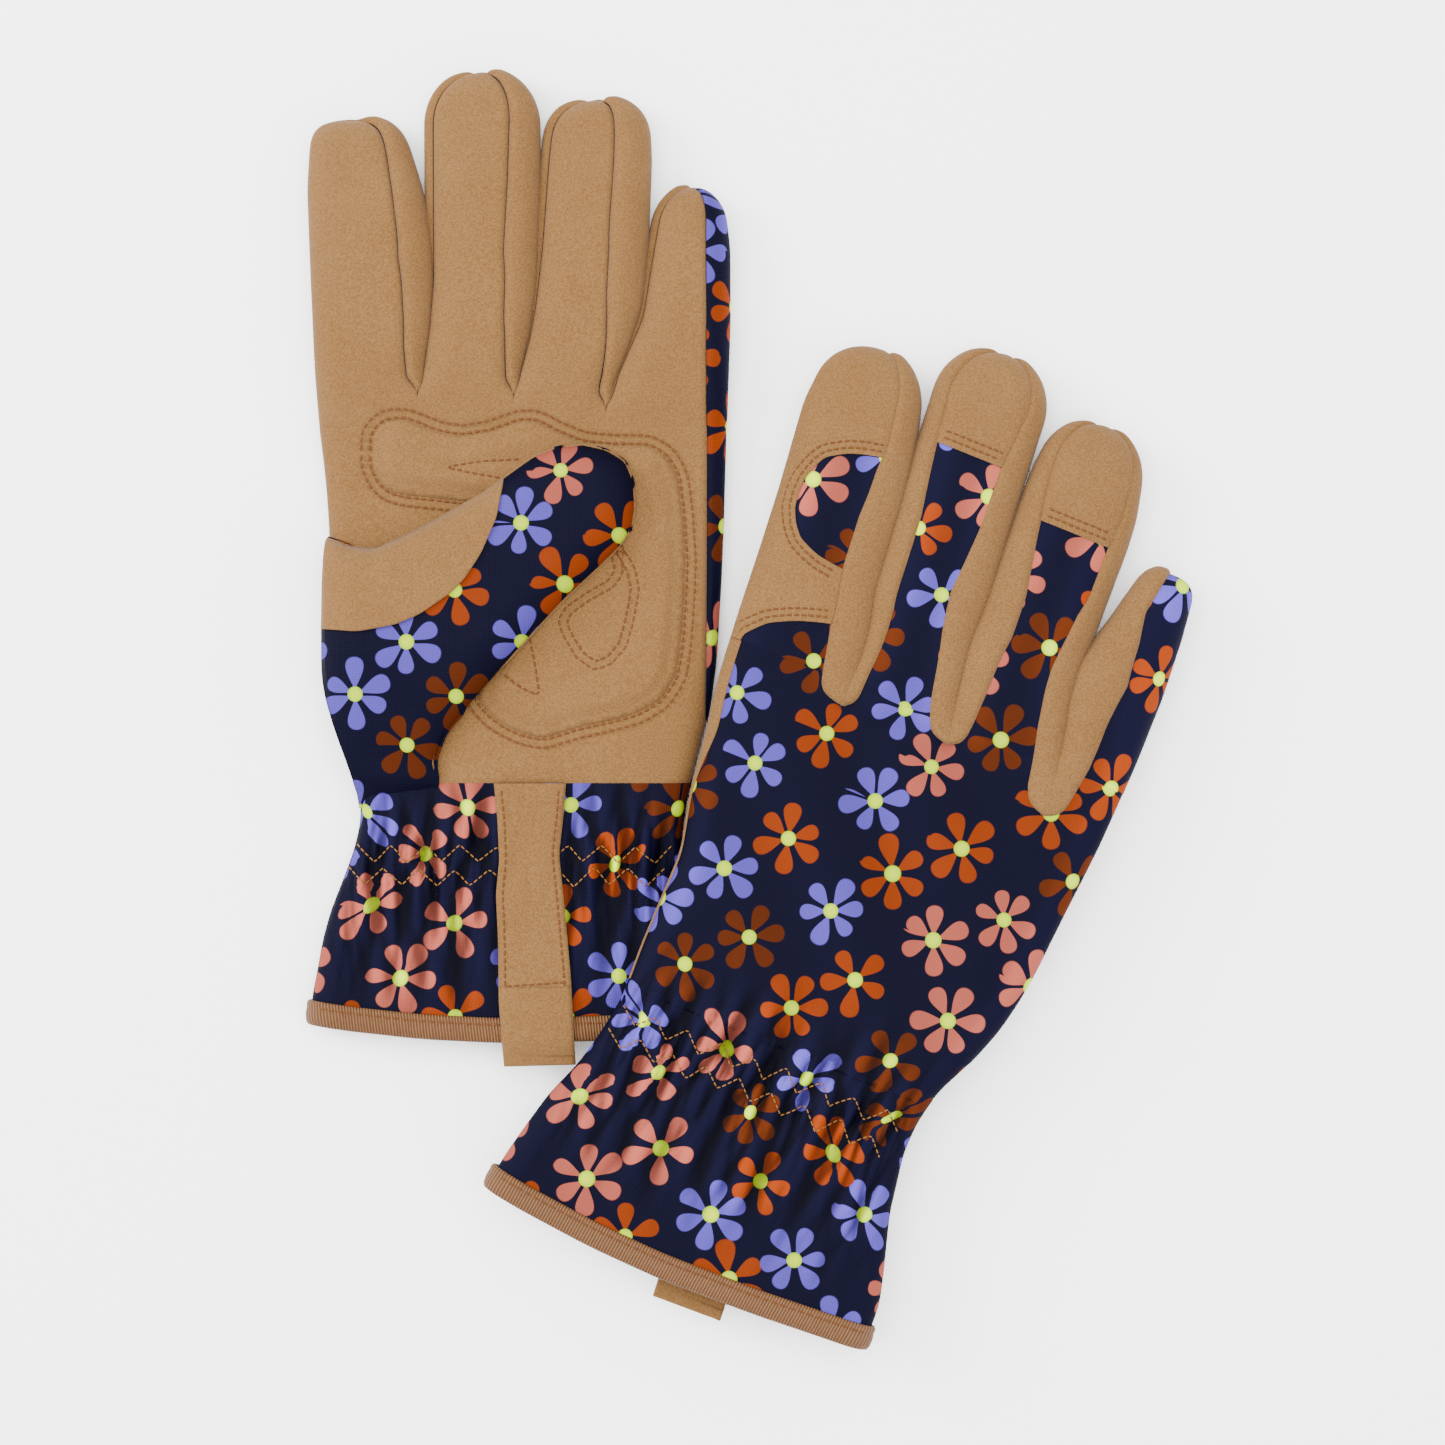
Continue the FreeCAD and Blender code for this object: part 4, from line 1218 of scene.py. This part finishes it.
def pad_depth(side):
    """Palm + the pad's rise, which is an S of the distance from its line, sunk along the inner seams."""
    bare = palm_depth(side)

    def groove(away, deep, wide):
        return deep * np.exp(-(away / wide) ** 2)

    def depth(x, y):
        away = distance_to_line(x, y, pad_ring)
        sunk = groove(distance_to_line(x, y, np.array(LOOP + LOOP[:1])), 0.45, 1.2)
        sunk = sunk + groove(away - 2.6, 0.4, 1.0)
        sunk = sunk + groove(distance_to_line(x, y, np.array(DART)), 0.4, 1.2)
        rise = 0.12 + PAD_RISE * smooth(away, -0.5, PAD_SLOPE)
        return bare(x, y) + rise - sunk + 0.15 * drift(x * 2.5, y * 2.5)
    return depth


def filled(line, step):
    """Triangles inside a closed plan line, on a net of inner points in even rows."""
    low, high = line.min(0), line.max(0)
    inner = []
    for k, y in enumerate(np.arange(low[1], high[1], step * 0.87)):
        x = np.arange(low[0] + (k % 2) * step / 2, high[0], step)
        inner.append(np.stack([x, np.full(len(x), y)], -1))
    inner = np.concatenate(inner)
    ring = np.concatenate([line, line[:1]])
    inner = inner[distance_to_line(inner[:, 0], inner[:, 1], ring) > step * 0.6]
    everything = np.concatenate([line, inner])
    count = len(line)
    edges = [(k, (k + 1) % count) for k in range(count)]
    found = delaunay_2d_cdt([Vector(p) for p in everything], edges, [], 1, 1e-5)
    points = np.array([tuple(v) for v in found[0]])
    return points, np.array([list(f) for f in found[2]])


def ring_in(line, distance):
    """A closed line moved in by a distance, with its first point again at the end."""
    moved = inset(line, distance)
    return np.concatenate([moved, moved[:1]])


pad_plan, pad_faces = filled(pad_line, 1.3)
pad_seams = [ring_in(pad_line, -0.6), ring_in(pad_line, -2.7)]
pad_seams += [ring_in(closed_line(LOOP, 120, 1.0), distance) for distance in (0.0, 2.0)]
pad_seams += [line_through(line, 0.8)(np.linspace(0, 1, 60)) for line in (POCKET, DART)]
for side in SIDES:
    depth = pad_depth(side)(pad_plan[:, 0], pad_plan[:, 1])
    points = np.concatenate([pad_plan, depth[:, None]], 1)
    pad = as_mesh(side + "_palm_pad", side, points, pad_faces, pad_plan, 0.9, "suede",
                  [side + "_palm_pads"], "hand")
    rows = [(line, pad_depth(side), 1) for line in pad_seams]
    stitches(side + "_pad_stitches", side, rows, "brown_thread", [side + "_pad_stitching"], "hand",
             width=0.55)
print("pads have", len(pad_faces), "faces")

# %% [markdown]
# The remaining rows of stitches: the strap's, the guard's and the caps' double rows, the zigzags that hold
# the elastic, and the row along the binding.

# %% Stitch rows on the backs, the strap and the hem


def offset_line(line, distance):
    """An open plan line moved sideways by a distance, to its left."""
    run = np.gradient(line, axis=0)
    normal = np.stack([-run[:, 1], run[:, 0]], -1)
    return line + distance * normal / np.maximum(np.linalg.norm(normal, axis=1, keepdims=True), 1e-9)


def on_finger(side, finger, line):
    """A line drawn on the right glove, kept at the same share of the finger's width on either glove."""
    x, y = line[:, 0], line[:, 1]
    low, high = (edge(y) for edge in EDGES["right", finger][:2])
    shares = (x - low) / (high - low)
    low, high = (edge(y) for edge in EDGES[side, finger][:2])
    return np.stack([low + shares * (high - low), y], -1)


def back_of(side, finger, proud):
    """Depth of the finger's back, a given distance proud of it."""
    return lambda x, y: finger_depth(side, finger, x, y, np.full(np.shape(x), False)) - proud


def zigzag(side, y):
    """A zigzag across the wrist, each corner shifted a little."""
    left, right = float(HAND[side][0](y)) + 1.5, float(HAND[side][1](y)) - 1.5
    x = np.arange(left, right, 4.375)
    shifts = rng.uniform(-0.5, 0.5, (len(x), 2))
    rise = np.where(np.arange(len(x)) % 2 == 0, 2.2, -2.2)
    return np.stack([x + shifts[:, 0], y + rise + shifts[:, 1]], -1)


def on_face(side, palm, proud, level=None):
    """Depth of the hand's palm or back, proud of it by a distance; at one level if that is given."""
    def depth(x, y):
        at = y if level is None else np.full(np.shape(x), level)
        return hand_depth(side, x, at, np.full(np.shape(x), palm)) + (proud if palm else -proud)
    return depth


def strap_seams():
    """The strap's two long rows and the cross row over its tail."""
    down = np.linspace(17.6, SEWN_Y, 120)
    left, right = TAB_LEFT(down) + STRAP_MARGIN, TAB_RIGHT(down) - STRAP_MARGIN
    across = np.array([(left[-1], SEWN_Y), (right[-1], SEWN_Y + 1)])
    return [np.stack([left, down], -1), np.stack([right, down], -1), across]


def guard_seams(side):
    """Two rows round the window and two along the guard's lower curve."""
    seams = []
    for distance in (1.5, 3.2):
        for edge, y in ((WINDOW, np.linspace(134.2, 163.2, 160)), (GUARD, np.linspace(109.5, 120, 80))):
            line = offset_line(np.stack([edge(y), y], -1), distance)
            seams.append(on_finger(side, "index", line))
    return seams


def cap_seams(side, finger):
    """Two straight rows across the finger, just above the cap's edge."""
    seams = []
    for y in (CAPS[finger] + 1.6, CAPS[finger] + 3.4):
        low, high = (float(edge(y)) for edge in EDGES[side, finger][:2])
        left, right = (low + (high - low) * float(share(y)) for share in BACK_SEAMS[finger])
        seams.append(np.array([(left + 0.8, y), (right - 0.8, y)]))
    return seams


# %% Sewing them on
ZIGZAG_ROWS = {"left": (1.5, -4.2), "right": (12.0, 5.2)}
STRAP_MARGIN = 1.7
for side in SIDES:
    rows = [(line, lambda x, y, side=side: strap_depth(side, x, y), 1) for line in strap_seams()]
    stitches(side + "_tab_stitches", side, rows, "brown_thread", [], "hand")
    rows = [(line, back_of(side, "index", 0.55), -1) for line in guard_seams(side)]
    stitches(side + "_guard_stitches", side, rows, "brown_thread", [], "index", pitch=1.8)
    for finger in CAPS:
        rows = [(line, back_of(side, finger, 0.55), -1) for line in cap_seams(side, finger)]
        stitches(side + "_" + finger + "_cap_stitches", side, rows, "brown_thread", [], finger, pitch=1.8)
    rows = []
    for y in ZIGZAG_ROWS[side]:
        rows.append((zigzag(side, y), on_face(side, True, 0.05), 1))
        rows.append((zigzag(side, y), on_face(side, False, 0.2), -1))
    stitches(side + "_zigzag_stitches", side, rows, "tan_thread", [side + "_wrist_stitching"], "hand",
             pitch=1.55, width=0.42)
    x = np.linspace(-49.5, 48.5, 90)
    line = np.stack([x, HEM(x) + 4.6], -1)
    rows = [(line, on_face(side, palm, 1.0, HEM_LEVEL), 1 if palm else -1) for palm in (True, False)]
    stitches(side + "_hem_stitches", side, rows, "brown_thread", [], "hand", pitch=2.3, width=0.45)

for side in SIDES:
    outwards(bpy.data.objects[side + "_hem_binding"])
